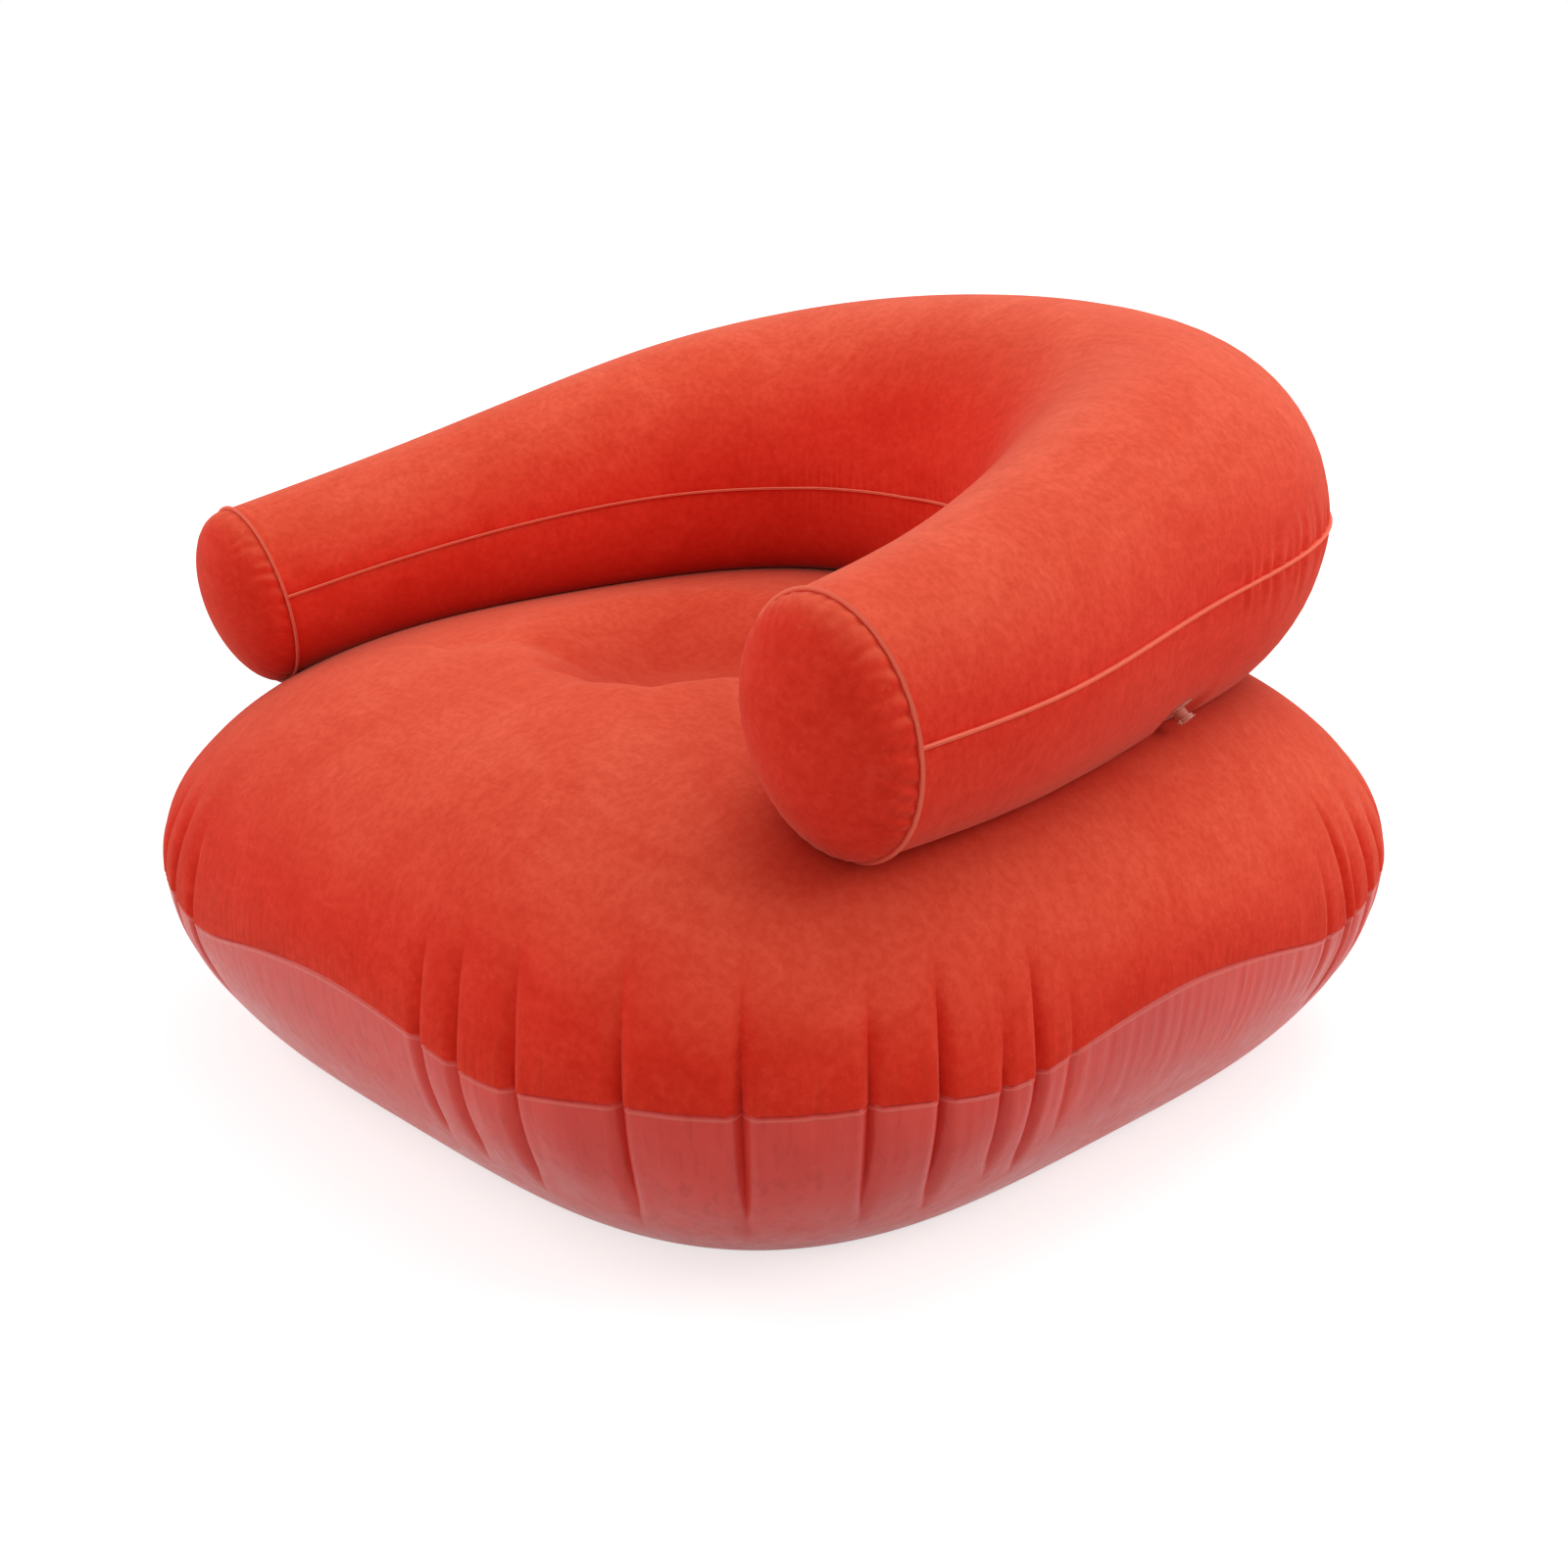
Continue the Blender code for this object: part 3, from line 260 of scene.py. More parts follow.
# %% Flocked film
# the nap's plain strokes, then painted light on its tops, painted shade in its gathers and by the tube, and what
# welding makes of it
NAP_DEEP, NAP_BRIGHT = colour(0.795, 0.037, 0.017), colour(0.852, 0.050, 0.025)
NAP_SHADED = colour(0.620, 0.020, 0.008)
PAINTED_LIGHT_DEEP, PAINTED_LIGHT_BRIGHT = colour(0.832, 0.114, 0.055), colour(0.888, 0.140, 0.072)
BETWEEN_CLUMPS, UNDER_CLOUD = colour(0.93, 0.82, 0.77), colour(0.96, 0.84, 0.80)
SCRATCHED, PAINTED_GATHER_SHADE = colour(0.93, 0.190, 0.104), colour(0.60, 0.034, 0.012)
BARE_WELD, PAINTED_SHADE_TONE = colour(0.97, 0.190, 0.112), colour(0.420, 0.004, 0.001)
SHEEN_TINT = colour(1.0, 0.48, 0.34)
# painted light: the sides that face up are painted palest, and of the others those that face the right rear, where
# the lamps light them
PAINTED_LIGHT_SIDE = (0.20, 0.15, 0.97)
GATHERS_FULL, GATHERS_GONE = 0.19, 0.30


def flock_material():
    g = Graph(bpy.data.materials.new("coral_flock"))
    # each patch of nap lies one of two ways, and shows fine strokes along that way
    first = g.noise(13.0, 6.0, 0.66, g.stretch((1.0, 6.0, 4.0), (0.3, 0.5, 0.6)), warp=0.5)
    second = g.noise(13.0, 6.0, 0.66, g.stretch((5.0, 1.1, 4.0), (0.7, -0.4, -0.5)), warp=0.5)
    patch = g.span(g.noise(4.5, warp=0.8), 0.44, 0.56)
    brushed = g.blend(patch, first, second)
    base = g.tint(NAP_DEEP, brushed, 0.42, 0.72, NAP_BRIGHT)
    base = g.tint(base, brushed, 0.46, 0.32, NAP_SHADED, most=0.22)
    # painted light: the sides facing up and the right rear are painted paler, as the lamps light them most
    facing = g.node("ShaderNodeVectorMath", {0: g.spot("Normal"), 1: PAINTED_LIGHT_SIDE}, operation="DOT_PRODUCT")
    painted_top_light = g.tint(PAINTED_LIGHT_DEEP, brushed, 0.34, 0.70, PAINTED_LIGHT_BRIGHT)
    base = g.tint(base, facing.outputs["Value"], 0.20, 0.95, painted_top_light, most=0.85)
    # the fibres stand in tiny clumps, darker between them
    speck = g.noise(140.0, 3.0, 0.6)
    base = g.tint(base, speck, 0.62, 0.36, BETWEEN_CLUMPS, way="MULTIPLY")
    # broad soft clouds, where the nap lies a little deeper
    base = g.tint(base, g.noise(7.0, 2.0, 0.45, warp=1.2), 0.60, 0.38, UNDER_CLOUD, way="MULTIPLY")
    # thin pale scratches, where something has stroked the nap the other way
    scratch = g.noise(17.0, 6.0, 0.74, g.stretch((1.0, 9.0, 6.0), (0.2, -0.3, 0.9)), warp=1.0)
    base = g.tint(base, scratch, 0.60, 0.72, SCRATCHED, most=0.22)
    # just above the seam the film is gathered very finely: the gathers are bumped, and their shade is painted into
    # the colour as dark streaks
    height = g.node("ShaderNodeSeparateXYZ", {0: g.spot()}).outputs["Z"]
    above_hem = g.span(height, GATHERS_FULL, GATHERS_GONE, 1.0, 0.0)
    gathers = g.maths("MULTIPLY", g.noise(150.0, 2.0, 0.5, g.stretch((1.0, 1.0, 0.05))), above_hem)
    base = g.tint(base, gathers, 0.45, 0.75, PAINTED_GATHER_SHADE, most=0.35)
    # a weld presses the fibres flat, so its line is bare, paler film
    weld = g.attribute("weld")
    base = g.mix(weld, base, BARE_WELD)
    # painted shade: the flock is darkened where the tube lies on the seat and in the dimple, where shade falls
    base = g.mix(g.maths("MULTIPLY", g.attribute("contact"), 0.85), base, PAINTED_SHADE_TONE)
    # single fibres, then clumps, gathers and strokes, each broader and deeper
    nap = g.bump(g.noise(900.0, 2.0, 0.6), 0.0006, 0.55)
    nap = g.bump(speck, 0.0008, 0.25, after=nap)
    nap = g.bump(gathers, 0.0016, 0.6, after=nap)
    g.shade({
        "Base Color": base,
        "Roughness": g.span(weld, 0.0, 1.0, 0.85, 0.60),
        "Specular IOR Level": 0.08,
        "Sheen Weight": 0.30,
        "Sheen Roughness": 0.40,
        "Sheen Tint": SHEEN_TINT,
        "Normal": g.bump(brushed, 0.003, 0.18, after=nap),
    })
    return g.owner


flock = flock_material()
print(flock.name, "has", len(flock.node_tree.nodes), "nodes")

# %% [markdown]
# ## Smooth film
# The pillow's lower half is plain vinyl. It is smooth and a little glossy, so it mirrors the white room at
# shallow angles, with a faint cloudiness and a few rub marks. One even roughness would look like paint, so
# the roughness follows the clouds and the rub marks too.

# %% Smooth film
FILM_DEEP, FILM_BRIGHT = colour(0.690, 0.050, 0.036), colour(0.780, 0.070, 0.050)
FILM_RUBBED, FILM_FOLD_SHADE = colour(0.68, 0.10, 0.080), colour(0.58, 0.036, 0.030)
FILM_WELD = colour(0.80, 0.17, 0.125)


def smooth_material():
    g = Graph(bpy.data.materials.new("coral_film"))
    cloud = g.noise(7.0, 4.0, 0.55)
    rubs = g.noise(60.0, 4.0, 0.6, warp=0.8)
    orange_peel = g.noise(260.0, 2.0)
    base = g.tint(FILM_DEEP, cloud, 0.3, 0.7, FILM_BRIGHT)
    base = g.tint(base, rubs, 0.55, 0.75, FILM_RUBBED, most=0.4)
    # streaks that run down from the seam, where the film is pulled together into fine folds: they are bumped, and
    # their shade is painted darker into the colour
    streaks = g.noise(110.0, 3.0, 0.6, g.stretch((1.0, 1.0, 0.06)))
    base = g.tint(base, streaks, 0.50, 0.72, FILM_FOLD_SHADE, most=0.5)
    soft = g.bump(orange_peel, 0.0003, 0.30)
    soft = g.bump(streaks, 0.0012, 0.35, after=soft)
    g.shade({
        "Base Color": g.mix(g.attribute("weld"), base, FILM_WELD),
        "Roughness": g.maths("ADD", g.span(cloud, 0.2, 0.8, 0.28, 0.38), g.span(rubs, 0.3, 0.8, 0.0, 0.10)),
        "IOR": 1.35,
        "Normal": g.bump(rubs, 0.0012, 0.25, after=soft),
    })
    return g.owner


film = smooth_material()
print(film.name, "has", len(film.node_tree.nodes), "nodes")

# %% [markdown]
# ## Valve plastics
# The valve bodies and the nozzle's cap are soft clear vinyl, cloudy rather than like glass. The plug is moulded
# in satin grey plastic, and the gasket and the flaps are soft black rubber. They differ in tint, gloss and
# clearness alone, so one function makes them all, with a faint mottle in each.

# %% Valve plastics
def moulded_material(name, tint, rough, fleck, clear=0.0):
    g = Graph(bpy.data.materials.new(name))
    mottle = g.noise(240.0, 3.0, 0.55)
    lighter = colour(*(min(c * 1.18 + 0.01, 1.0) for c in tint))
    darker = colour(*(c * 0.84 for c in tint))
    g.shade({
        "Base Color": g.tint(darker, g.noise(35.0), 0.3, 0.7, lighter),
        "Roughness": g.span(mottle, 0.2, 0.8, rough - 0.06, rough + 0.08),
        "Transmission Weight": clear,
        "IOR": 1.5,
        "Normal": g.bump(mottle, fleck, 0.35),
    })
    print(name, "has", len(g.tree.nodes), "nodes")
    return g.owner


clear_vinyl = moulded_material("clear_vinyl", (0.78, 0.26, 0.18), 0.34, 0.0002, clear=0.30)
grey_plastic = moulded_material("satin_grey", (0.40, 0.41, 0.43), 0.42, 0.0002)
black_rubber = moulded_material("soft_rubber", (0.035, 0.035, 0.037), 0.62, 0.0004)
tie_vinyl = moulded_material("tie_vinyl", (0.74, 0.44, 0.40), 0.38, 0.0003, clear=0.15)

# %% [markdown]
# ## Mesh helpers
# A film panel could be inflated from flat cloth, but an air-tight chair keeps the shape that its cut and
# its pressure give it, and its pleats have to lie where the photograph has them. So a panel is first an
# open sheet of points, placed by formula. It is then thickened to the film's own thickness, smoothed in
# shading, and put on the body that it rides with.

# %% Mesh helpers
FLOCKED_FILM, SMOOTH_FILM, WELD_GAP = 0.0007, 0.0005, 0.0003


def deselect():
    bpy.ops.object.select_all(action="DESELECT")


def select_only(obj):
    deselect()
    obj.select_set(True)
    bpy.context.view_layer.objects.active = obj


def sheet_object(name, points, faces, **marks):
    """A mesh of these points and faces, with one number per point for each mark."""
    mesh = bpy.data.meshes.new(name)
    mesh.from_pydata([tuple(p) for p in points], [], faces)
    mesh.validate()
    for mark, values in marks.items():
        mesh.attributes.new(mark, "FLOAT", "POINT").data.foreach_set("value", values)
    made = bpy.data.objects.new(name, mesh)
    bpy.context.collection.objects.link(made)
    return made


def apply(obj, kind, name, **settings):
    """Adds a modifier with these settings and applies it."""
    select_only(obj)
    modifier = obj.modifiers.new(name, kind)
    for key, value in settings.items():
        setattr(modifier, key, value)
    bpy.ops.object.modifier_apply(modifier=modifier.name)


def box_gap(obj, node):
    """The most by which any side of the piece's box differs from its CAD solid's, in metres."""
    points = np.array([v.co for v in obj.data.vertices])
    low, high = (np.array(corner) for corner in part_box(node))
    return max(np.abs(points.min(axis=0) - low).max(), np.abs(points.max(axis=0) - high).max())


def finish_piece(obj, material, body, node, smooth_angle):
    """Smooths the shading, gives the finish, and puts the piece on its body in its CAD solid's place."""
    select_only(obj)
    bpy.ops.object.shade_smooth_by_angle(angle=math.radians(smooth_angle))
    obj.data.materials.clear()
    obj.data.materials.append(material)
    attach(obj, body)
    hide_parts(node)
    triangles = sum(len(face.vertices) - 2 for face in obj.data.polygons)
    print(f"{obj.name}: {triangles} triangles, box within {1000 * box_gap(obj, node):.1f} mm")


def finish_film(sheet, material, node, thickness, outwards, smooth_angle=60.0):
    """Thickens the sheet to one side and makes it a padded piece of the chair."""
    apply(sheet, "SOLIDIFY", "film", thickness=thickness, offset=1.0 if outwards else -1.0)
    finish_piece(sheet, material, "chair_body", node, smooth_angle)


def bridge_rows(rows, outward_up):
    """Faces between closed rows, from rim to middle. Each row has the count of the last or half."""
    points, faces, starts = [], [], []
    for row in rows:
        starts.append(len(points))
        points.extend(row)
    for a, b, first, second in zip(rows, rows[1:], starts, starts[1:]):
        n, m = len(a), len(b)
        for i in range(m):
            j = (i + 1) % m
            if n == m:
                faces.append((first + i, first + j, second + j, second + i))
            else:
                k = [first + (2 * i + step) % n for step in range(3)]
                faces.append((k[0], k[1], second + i))
                faces.append((k[1], second + j, second + i))
                faces.append((k[1], k[2], second + j))
    last, count = starts[-1], len(rows[-1])
    points.append(np.mean(rows[-1], axis=0))
    for i in range(count):
        faces.append((last + i, last + (i + 1) % count, len(points) - 1))
    if not outward_up:
        faces = [face[::-1] for face in faces]
    return np.array(points), faces


# %% [markdown]
# ## The pillow's outline and its pleats
# Seen from above the pillow is a square with full round corners, which one power formula draws. Its two
# flat panels were cut bigger than the seam that joins them, so round each corner the spare film gathers in
# deep, narrow pleats that cross the seam. Noise would scatter them anywhere, so each pleat has its own line
# here, with its place measured along the seam in the photograph.

# %% Pillow outline
seat_low, seat_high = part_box("seat_top_panel")
HALF_WIDTH = (seat_high.x - seat_low.x) / 2
HALF_DEPTH = (seat_high.y - seat_low.y) / 2
MIDDLE_Y = (seat_high.y + seat_low.y) / 2
SEAM_HEIGHT = 0.18
OUTLINE_POWER, OUTLINE_POINTS = 3.6, 11521
CROWN_RISE, CROWN_POWERS = 0.254, (3.0, 1.9)
BELLY_DROP, BELLY_POWERS = 0.267, (3.87, 1.66)
TIE_PLACE = np.array((0.0, -0.10))


def signed_power(values, power):
    return np.sign(values) * np.abs(values) ** power


def way_along(x, y):
    """The distance along a path to each of its points."""
    return np.concatenate([[0], np.cumsum(np.hypot(np.diff(x), np.diff(y)))])


angle = np.linspace(math.pi / 4, math.pi / 4 + math.tau, OUTLINE_POINTS)
outline_x = HALF_WIDTH * signed_power(np.cos(angle), 2 / OUTLINE_POWER)
outline_y = HALF_DEPTH * signed_power(np.sin(angle), 2 / OUTLINE_POWER)
inward_x = -signed_power(outline_x / HALF_WIDTH, OUTLINE_POWER - 1) / HALF_WIDTH
inward_y = -signed_power(outline_y / HALF_DEPTH, OUTLINE_POWER - 1) / HALF_DEPTH
inward_size = np.hypot(inward_x, inward_y)
inward_x, inward_y = inward_x / inward_size, inward_y / inward_size
along_seam = way_along(outline_x, outline_y)
SEAM_LENGTH = along_seam[-1]
CORNERS = [along_seam[i] for i in np.linspace(0, OUTLINE_POINTS - 1, 5).astype(int)[:4]]
REAR_LEFT, FRONT_RIGHT = 1, 3
print("seam length", round(SEAM_LENGTH, 3), "m, corners at", [round(c, 3) for c in CORNERS])

# %% Pleats
# each pleat: distance from the corner's middle, depth, half width, reach above and below the seam
FRONT_RIGHT_PLEATS = [
    (-0.331, 0.0085, 0.0042, 0.105, 0.110),
    (-0.281, 0.0095, 0.0042, 0.110, 0.120),
    (-0.2105, 0.0110, 0.0046, 0.130, 0.130),
    (-0.1015, 0.0110, 0.0044, 0.125, 0.140),
    (0.000, 0.0120, 0.0048, 0.130, 0.145),
    (0.0585, 0.0018, 0.0046, 0.060, 0.030),
    (0.1045, 0.0100, 0.0044, 0.110, 0.140),
    (0.1697, 0.0115, 0.0044, 0.130, 0.140),
    (0.231, 0.0070, 0.0040, 0.070, 0.120),
    (0.270, 0.0105, 0.0042, 0.115, 0.130),
    (0.308, 0.0030, 0.0044, 0.080, 0.100),
]
OTHER_PLEATS = [
    (-0.250, 0.0035, 0.0040, 0.085, 0.080),
    (-0.207, 0.0095, 0.0042, 0.120, 0.110),
    (-0.189, 0.0045, 0.0038, 0.080, 0.090),
    (-0.150, 0.0100, 0.0044, 0.120, 0.120),
    (-0.104, 0.0080, 0.0042, 0.100, 0.110),
    (-0.055, 0.0105, 0.0044, 0.120, 0.130),
    (0.000, 0.0115, 0.0048, 0.125, 0.140),
    (0.060, 0.0095, 0.0044, 0.110, 0.130),
    (0.112, 0.0085, 0.0042, 0.105, 0.120),
    (0.160, 0.0105, 0.0044, 0.120, 0.120),
    (0.215, 0.0070, 0.0042, 0.090, 0.100),
]
# the rear left corner is hidden in the photograph, so its pleats wander a little
HIDDEN_WANDER = 0.008
REACH_SHARES = (0.85, 1.1)

random = np.random.default_rng(7)
pleats = []
for number, corner in enumerate(CORNERS):
    for offset, depth, width, above, below in FRONT_RIGHT_PLEATS if number == FRONT_RIGHT else OTHER_PLEATS:
        wander = random.uniform(-HIDDEN_WANDER, HIDDEN_WANDER) if number == REAR_LEFT else 0.0
        reach = above * random.uniform(*REACH_SHARES)
        pleats.append(((corner + offset + wander) % SEAM_LENGTH, depth, width, reach, below))
pleats = np.array(sorted(pleats))
print("pleats", len(pleats))

# %% [markdown]
# Below the seam the thin smooth film is softer than the flocked one, so between the pleats it also gathers
# in fine ruffles. They are strongest along the right side and round the corners, and the middle of the
# front and the left side are almost smooth. There are hundreds, so they are drawn at random from a few
# ranges, with a fixed seed.

# %% Ruffles of the smooth film
RUFFLE_SPACING, RUFFLE_DEPTH = (0.009, 0.021), (0.0005, 0.0014)
RUFFLE_HALF_WIDTH, RUFFLE_REACH = (0.0022, 0.0036), (0.05, 0.13)
# the right side starts this far past its corner, and is gathered fully
RIGHT_SIDE = CORNERS[FRONT_RIGHT] + 0.15
# elsewhere: the share in the middle of a side, the share added at a corner, and how far that reaches
RUFFLE_SHARE, CORNER_SHARE, CORNER_REACH = 0.12, 0.6, 0.24


def bell(distance, width):
    """1 at no distance, falling softly to almost 0 at twice the width."""
    return np.exp(-((distance / width) ** 2))


def seam_distance(u, place):
    """The shorter way round the seam from one place to another."""
    return np.abs((u - place + SEAM_LENGTH / 2) % SEAM_LENGTH - SEAM_LENGTH / 2)


def ruffle_strength(place):
    """How strongly the film is gathered at a place along the seam."""
    if RIGHT_SIDE < place:
        return 1.0
    return RUFFLE_SHARE + CORNER_SHARE * bell(min(seam_distance(place, c) for c in CORNERS), CORNER_REACH)


ruffles, place = [], 0.0
while place < SEAM_LENGTH - RUFFLE_SPACING[0]:
    depth = random.uniform(*RUFFLE_DEPTH) * ruffle_strength(place)
    ruffles.append((place, depth, random.uniform(*RUFFLE_HALF_WIDTH), 0.0, random.uniform(*RUFFLE_REACH)))
    place += random.uniform(*RUFFLE_SPACING)
ruffles = np.array(ruffles)
print("ruffles", len(ruffles))

# %% [markdown]
# The sheet needs close columns where a pleat folds and few between them. An even grid that is fine enough
# for the pleats would have millions of points, so the columns are laid out from the pleats' own places.

# %% Columns of the pillow's sheets
# columns on each side of a pleat, in half widths of it
PLEAT_STEPS = np.array([0, 0.28, 0.6, 1.0, 1.5, 2.1, 2.9, 3.9])
CLOSEST_COLUMNS = 0.0006


def seam_columns(step):
    marks = []
    for place, _, width, _, _ in pleats:
        marks.extend(place + side * width * step for side in (-1, 1) for step in PLEAT_STEPS)
    kept = []
    for mark in sorted(mark % SEAM_LENGTH for mark in marks):
        if not kept or mark - kept[-1] > CLOSEST_COLUMNS:
            kept.append(mark)
    filled = []
    for mark, after in zip(kept, kept[1:] + [kept[0] + SEAM_LENGTH]):
        pieces = max(1, math.ceil((after - mark) / step))
        filled.extend(mark + (after - mark) * i / pieces for i in range(pieces))
    # the rows halve twice towards the middle, so the count has to be a multiple of four
    while len(filled) % 4:
        widest = int(np.diff(filled).argmax())
        filled.insert(widest + 1, (filled[widest] + filled[widest + 1]) / 2)
    return np.array(filled)


# %% Sway of the seam
SEAM_LEVEL = 0.003
# the seam is pulled down beside each corner and up along each side: rise, distance from the corner, width
SEAM_SWAYS = ((0.010, 0.48, 0.11), (-0.017, 0.24, 0.09))
SWAY_FADE = 0.07


def seam_sway(u):
    """How far the seam runs above its level."""
    away = np.min([seam_distance(u, corner) for corner in CORNERS], axis=0)
    return SEAM_LEVEL + sum(rise * bell(away - middle, width) for rise, middle, width in SEAM_SWAYS)


class Seam:
    """The columns of one sheet: their places along the seam, the points there, and the way inward."""

    def __init__(self, step):
        self.along = seam_columns(step)
        self.sway = seam_sway(self.along)
        self.point = np.column_stack([np.interp(self.along, along_seam, v) for v in (outline_x, outline_y)])
        self.inward = np.column_stack([np.interp(self.along, along_seam, v) for v in (inward_x, inward_y)])

    def row(self, index, share, height, draw_in):
        """The columns of this index at one height, shrunk to a share of the outline and drawn in."""
        point = self.point[index] * share + self.inward[index] * draw_in[:, None]
        fade = min(height / SEAM_HEIGHT, 1) * bell(height - SEAM_HEIGHT, SWAY_FADE)
        return np.column_stack([point, height + self.sway[index] * fade])


print("the seam sways by up to", round(1000 * float(np.abs(seam_sway(along_seam)).max()), 1), "mm")

# %% Folds and lobes
# a fold above and below the seam: the power of its fade, and how much it widens along its reach
FOLD_FADES, FOLD_WIDENINGS = {True: 1.5, False: 3.5}, {True: 0.6, False: 0.15}
FADE_EDGE, FOLD_SHARPNESS = 1.3, 1.25
# the lips that a fold pushes up beside it: share of its depth, distance and width in its half widths
LIP_SHARE, LIP_AWAY, LIP_WIDTH = 0.10, 2.4, 1.2
# a lobe swells between two pleats at least this deep, with its gap up to a limit
DEEP_PLEAT, WIDEST_LOBE, LOBE_SHARE, SEAM_LOBE_SHARE = 0.004, 0.11, 0.034, 0.35


def fold_depth(folds, u, height, above):
    """How far folds draw the film in at seam places u, at one distance above or below the seam."""
    reach = folds[:, 3 if above else 4]
    place, depth, width, reach = np.column_stack([folds[:, :3], reach])[height < reach].T
    away = seam_distance(u[:, None], place)
    way = height / reach
    fade = (1 - way ** FOLD_FADES[above]) ** FADE_EDGE
    wide = width * (1 + FOLD_WIDENINGS[above] * way)
    fold = np.exp(-((away / wide) ** FOLD_SHARPNESS))
    lip = bell(away - LIP_AWAY * wide, LIP_WIDTH * wide)
    return (depth * fade * (fold - LIP_SHARE * lip)).sum(axis=1)


def lobe_bulge(u, height, reach):
    """The film puffs out between one pleat and the next."""
    places = pleats[pleats[:, 1] > DEEP_PLEAT, 0]
    index = np.searchsorted(places, u % SEAM_LENGTH)
    before = places[index - 1]
    gap = (places[index % len(places)] - before) % SEAM_LENGTH
    share = ((u - before) % SEAM_LENGTH) / gap
    fullness = np.sin(math.pi * share) ** 2 * np.minimum(gap, WIDEST_LOBE) * LOBE_SHARE
    way = min(height / reach, 1.0)
    return fullness * (SEAM_LOBE_SHARE * (1 - way) + math.sin(math.pi * way))


deepest = fold_depth(pleats, along_seam, 0.0, True).max()
print("deepest pleat at the seam", round(1000 * float(deepest), 1), "mm")

# %% [markdown]
# ## Seat panel
# The flocked top of the pillow: a hem that laps over the seam, a shoulder with the pleats, the crown, and
# the wide dimple where the tie inside pulls it down. A subdivided cube pushed into shape would give it soft
# folds only, so it is drawn in rows, which go up the crown in equal steps, closer together near the seam
# where the pleats are.

# %% Crown and dimple
DIMPLE_DEPTH, DIMPLE_RADIUS, DIMPLE_FLOOR = 0.060, 0.19, 0.050
# soft folds that run out from the tie: direction in degrees, start and end, depth and half width
DIMPLE_FOLDS = (
    (-168, 0.05, 0.25, 0.0040, 0.016),
    (-137, 0.05, 0.30, 0.0050, 0.018),
    (-108, 0.04, 0.22, 0.0060, 0.015),
    (-84, 0.05, 0.28, 0.0035, 0.014),
    (-52, 0.05, 0.24, 0.0050, 0.016),
    (-20, 0.05, 0.28, 0.0035, 0.016),
    (14, 0.05, 0.22, 0.0040, 0.015),
    (52, 0.05, 0.24, 0.0030, 0.016),
    (95, 0.05, 0.20, 0.0040, 0.015),
    (140, 0.05, 0.26, 0.0035, 0.017),
)
# a fold is deepest nearer to its start
FOLD_SKEW = 0.8


def crown_height(x, y):
    share = np.abs(x / HALF_WIDTH) ** OUTLINE_POWER + np.abs(y / HALF_DEPTH) ** OUTLINE_POWER
    share = np.minimum(share ** (1 / OUTLINE_POWER), 1.0)
    return SEAM_HEIGHT + CROWN_RISE * (1 - share ** CROWN_POWERS[0]) ** (1 / CROWN_POWERS[1])


def easing_out(way):
    """1 up to 0, easing down to 0 from 1 on."""
    way = np.clip(way, 0, 1)
    return 1 - way * way * (3 - 2 * way)


def dimple_weight(x, y, inner, outer):
    return easing_out((np.hypot(x - TIE_PLACE[0], y - TIE_PLACE[1]) - inner) / (outer - inner))


def dimple_folds(x, y):
    away = np.hypot(x - TIE_PLACE[0], y - TIE_PLACE[1])
    turn = np.arctan2(y - TIE_PLACE[1], x - TIE_PLACE[0])
    total = 0.0
    for direction, start, end, depth, width in DIMPLE_FOLDS:
        side = ((turn - math.radians(direction) + math.pi) % math.tau - math.pi) * away
        share = np.clip((away - start) / (end - start), 0, 1)
        total = total + depth * np.sin(math.pi * share**FOLD_SKEW) ** 2 * bell(side, width)
    return total


def seat_height(x, y):
    floor_height = crown_height(*TIE_PLACE) - DIMPLE_DEPTH
    weight = dimple_weight(x, y, DIMPLE_FLOOR, DIMPLE_RADIUS)
    return crown_height(x, y) * (1 - weight) + floor_height * weight - dimple_folds(x, y)


print("seat at the tie", round(float(seat_height(*TIE_PLACE)), 3), "m high")

# %% Seat panel
MEAN_RADIUS = 0.60
SEAT_COLUMN_STEP = 0.0095
# distances above the seam at which every second column ends, and the steps of the rows up to there
HALVING_PLACES = (0.15, 0.24)
FIRST_ROWS, ROW_STEPS, MIDDLE_LEFT = [0.0, 0.0015, 0.004], (0.0052, 0.009, 0.0125), 0.03
LOBES_END, DIMPLE_START = 0.15, 0.20


def crown_rows():
    """(share of the outline, height, distance above the seam) of each row, from the seam up."""
    turn = np.linspace(0, math.pi / 2, 4001)
    share = np.cos(turn) ** (2 / CROWN_POWERS[0])
    height = SEAM_HEIGHT + CROWN_RISE * np.sin(turn) ** (2 / CROWN_POWERS[1])
    length = way_along(share * MEAN_RADIUS, height)
    rows = list(FIRST_ROWS)
    for end, step in zip((*HALVING_PLACES, length[-1] - MIDDLE_LEFT), ROW_STEPS):
        while rows[-1] < end:
            rows.append(rows[-1] + step)
    rows = np.array(rows)
    return np.interp(rows, length, share), np.interp(rows, length, height), rows


def seat_panel():
    rows = []
    seam = Seam(SEAT_COLUMN_STEP)
    for share, height, up in zip(*crown_rows()):
        index = np.arange(len(seam.along))[:: 2 ** sum(up > place for place in HALVING_PLACES)]
        u = seam.along[index]
        draw = fold_depth(pleats, u, up, True) - lobe_bulge(u, up, LOBES_END)
        row = seam.row(index, share, height, draw)
        if up > DIMPLE_START:
            row[:, 2] = seat_height(row[:, 0], row[:, 1])
        rows.append(row)
    points, faces = bridge_rows(rows, True)
    points[-1, 2] = seat_height(points[-1, 0], points[-1, 1])
    points[:, 1] += MIDDLE_Y
    return sheet_object("seat_top", points, faces)


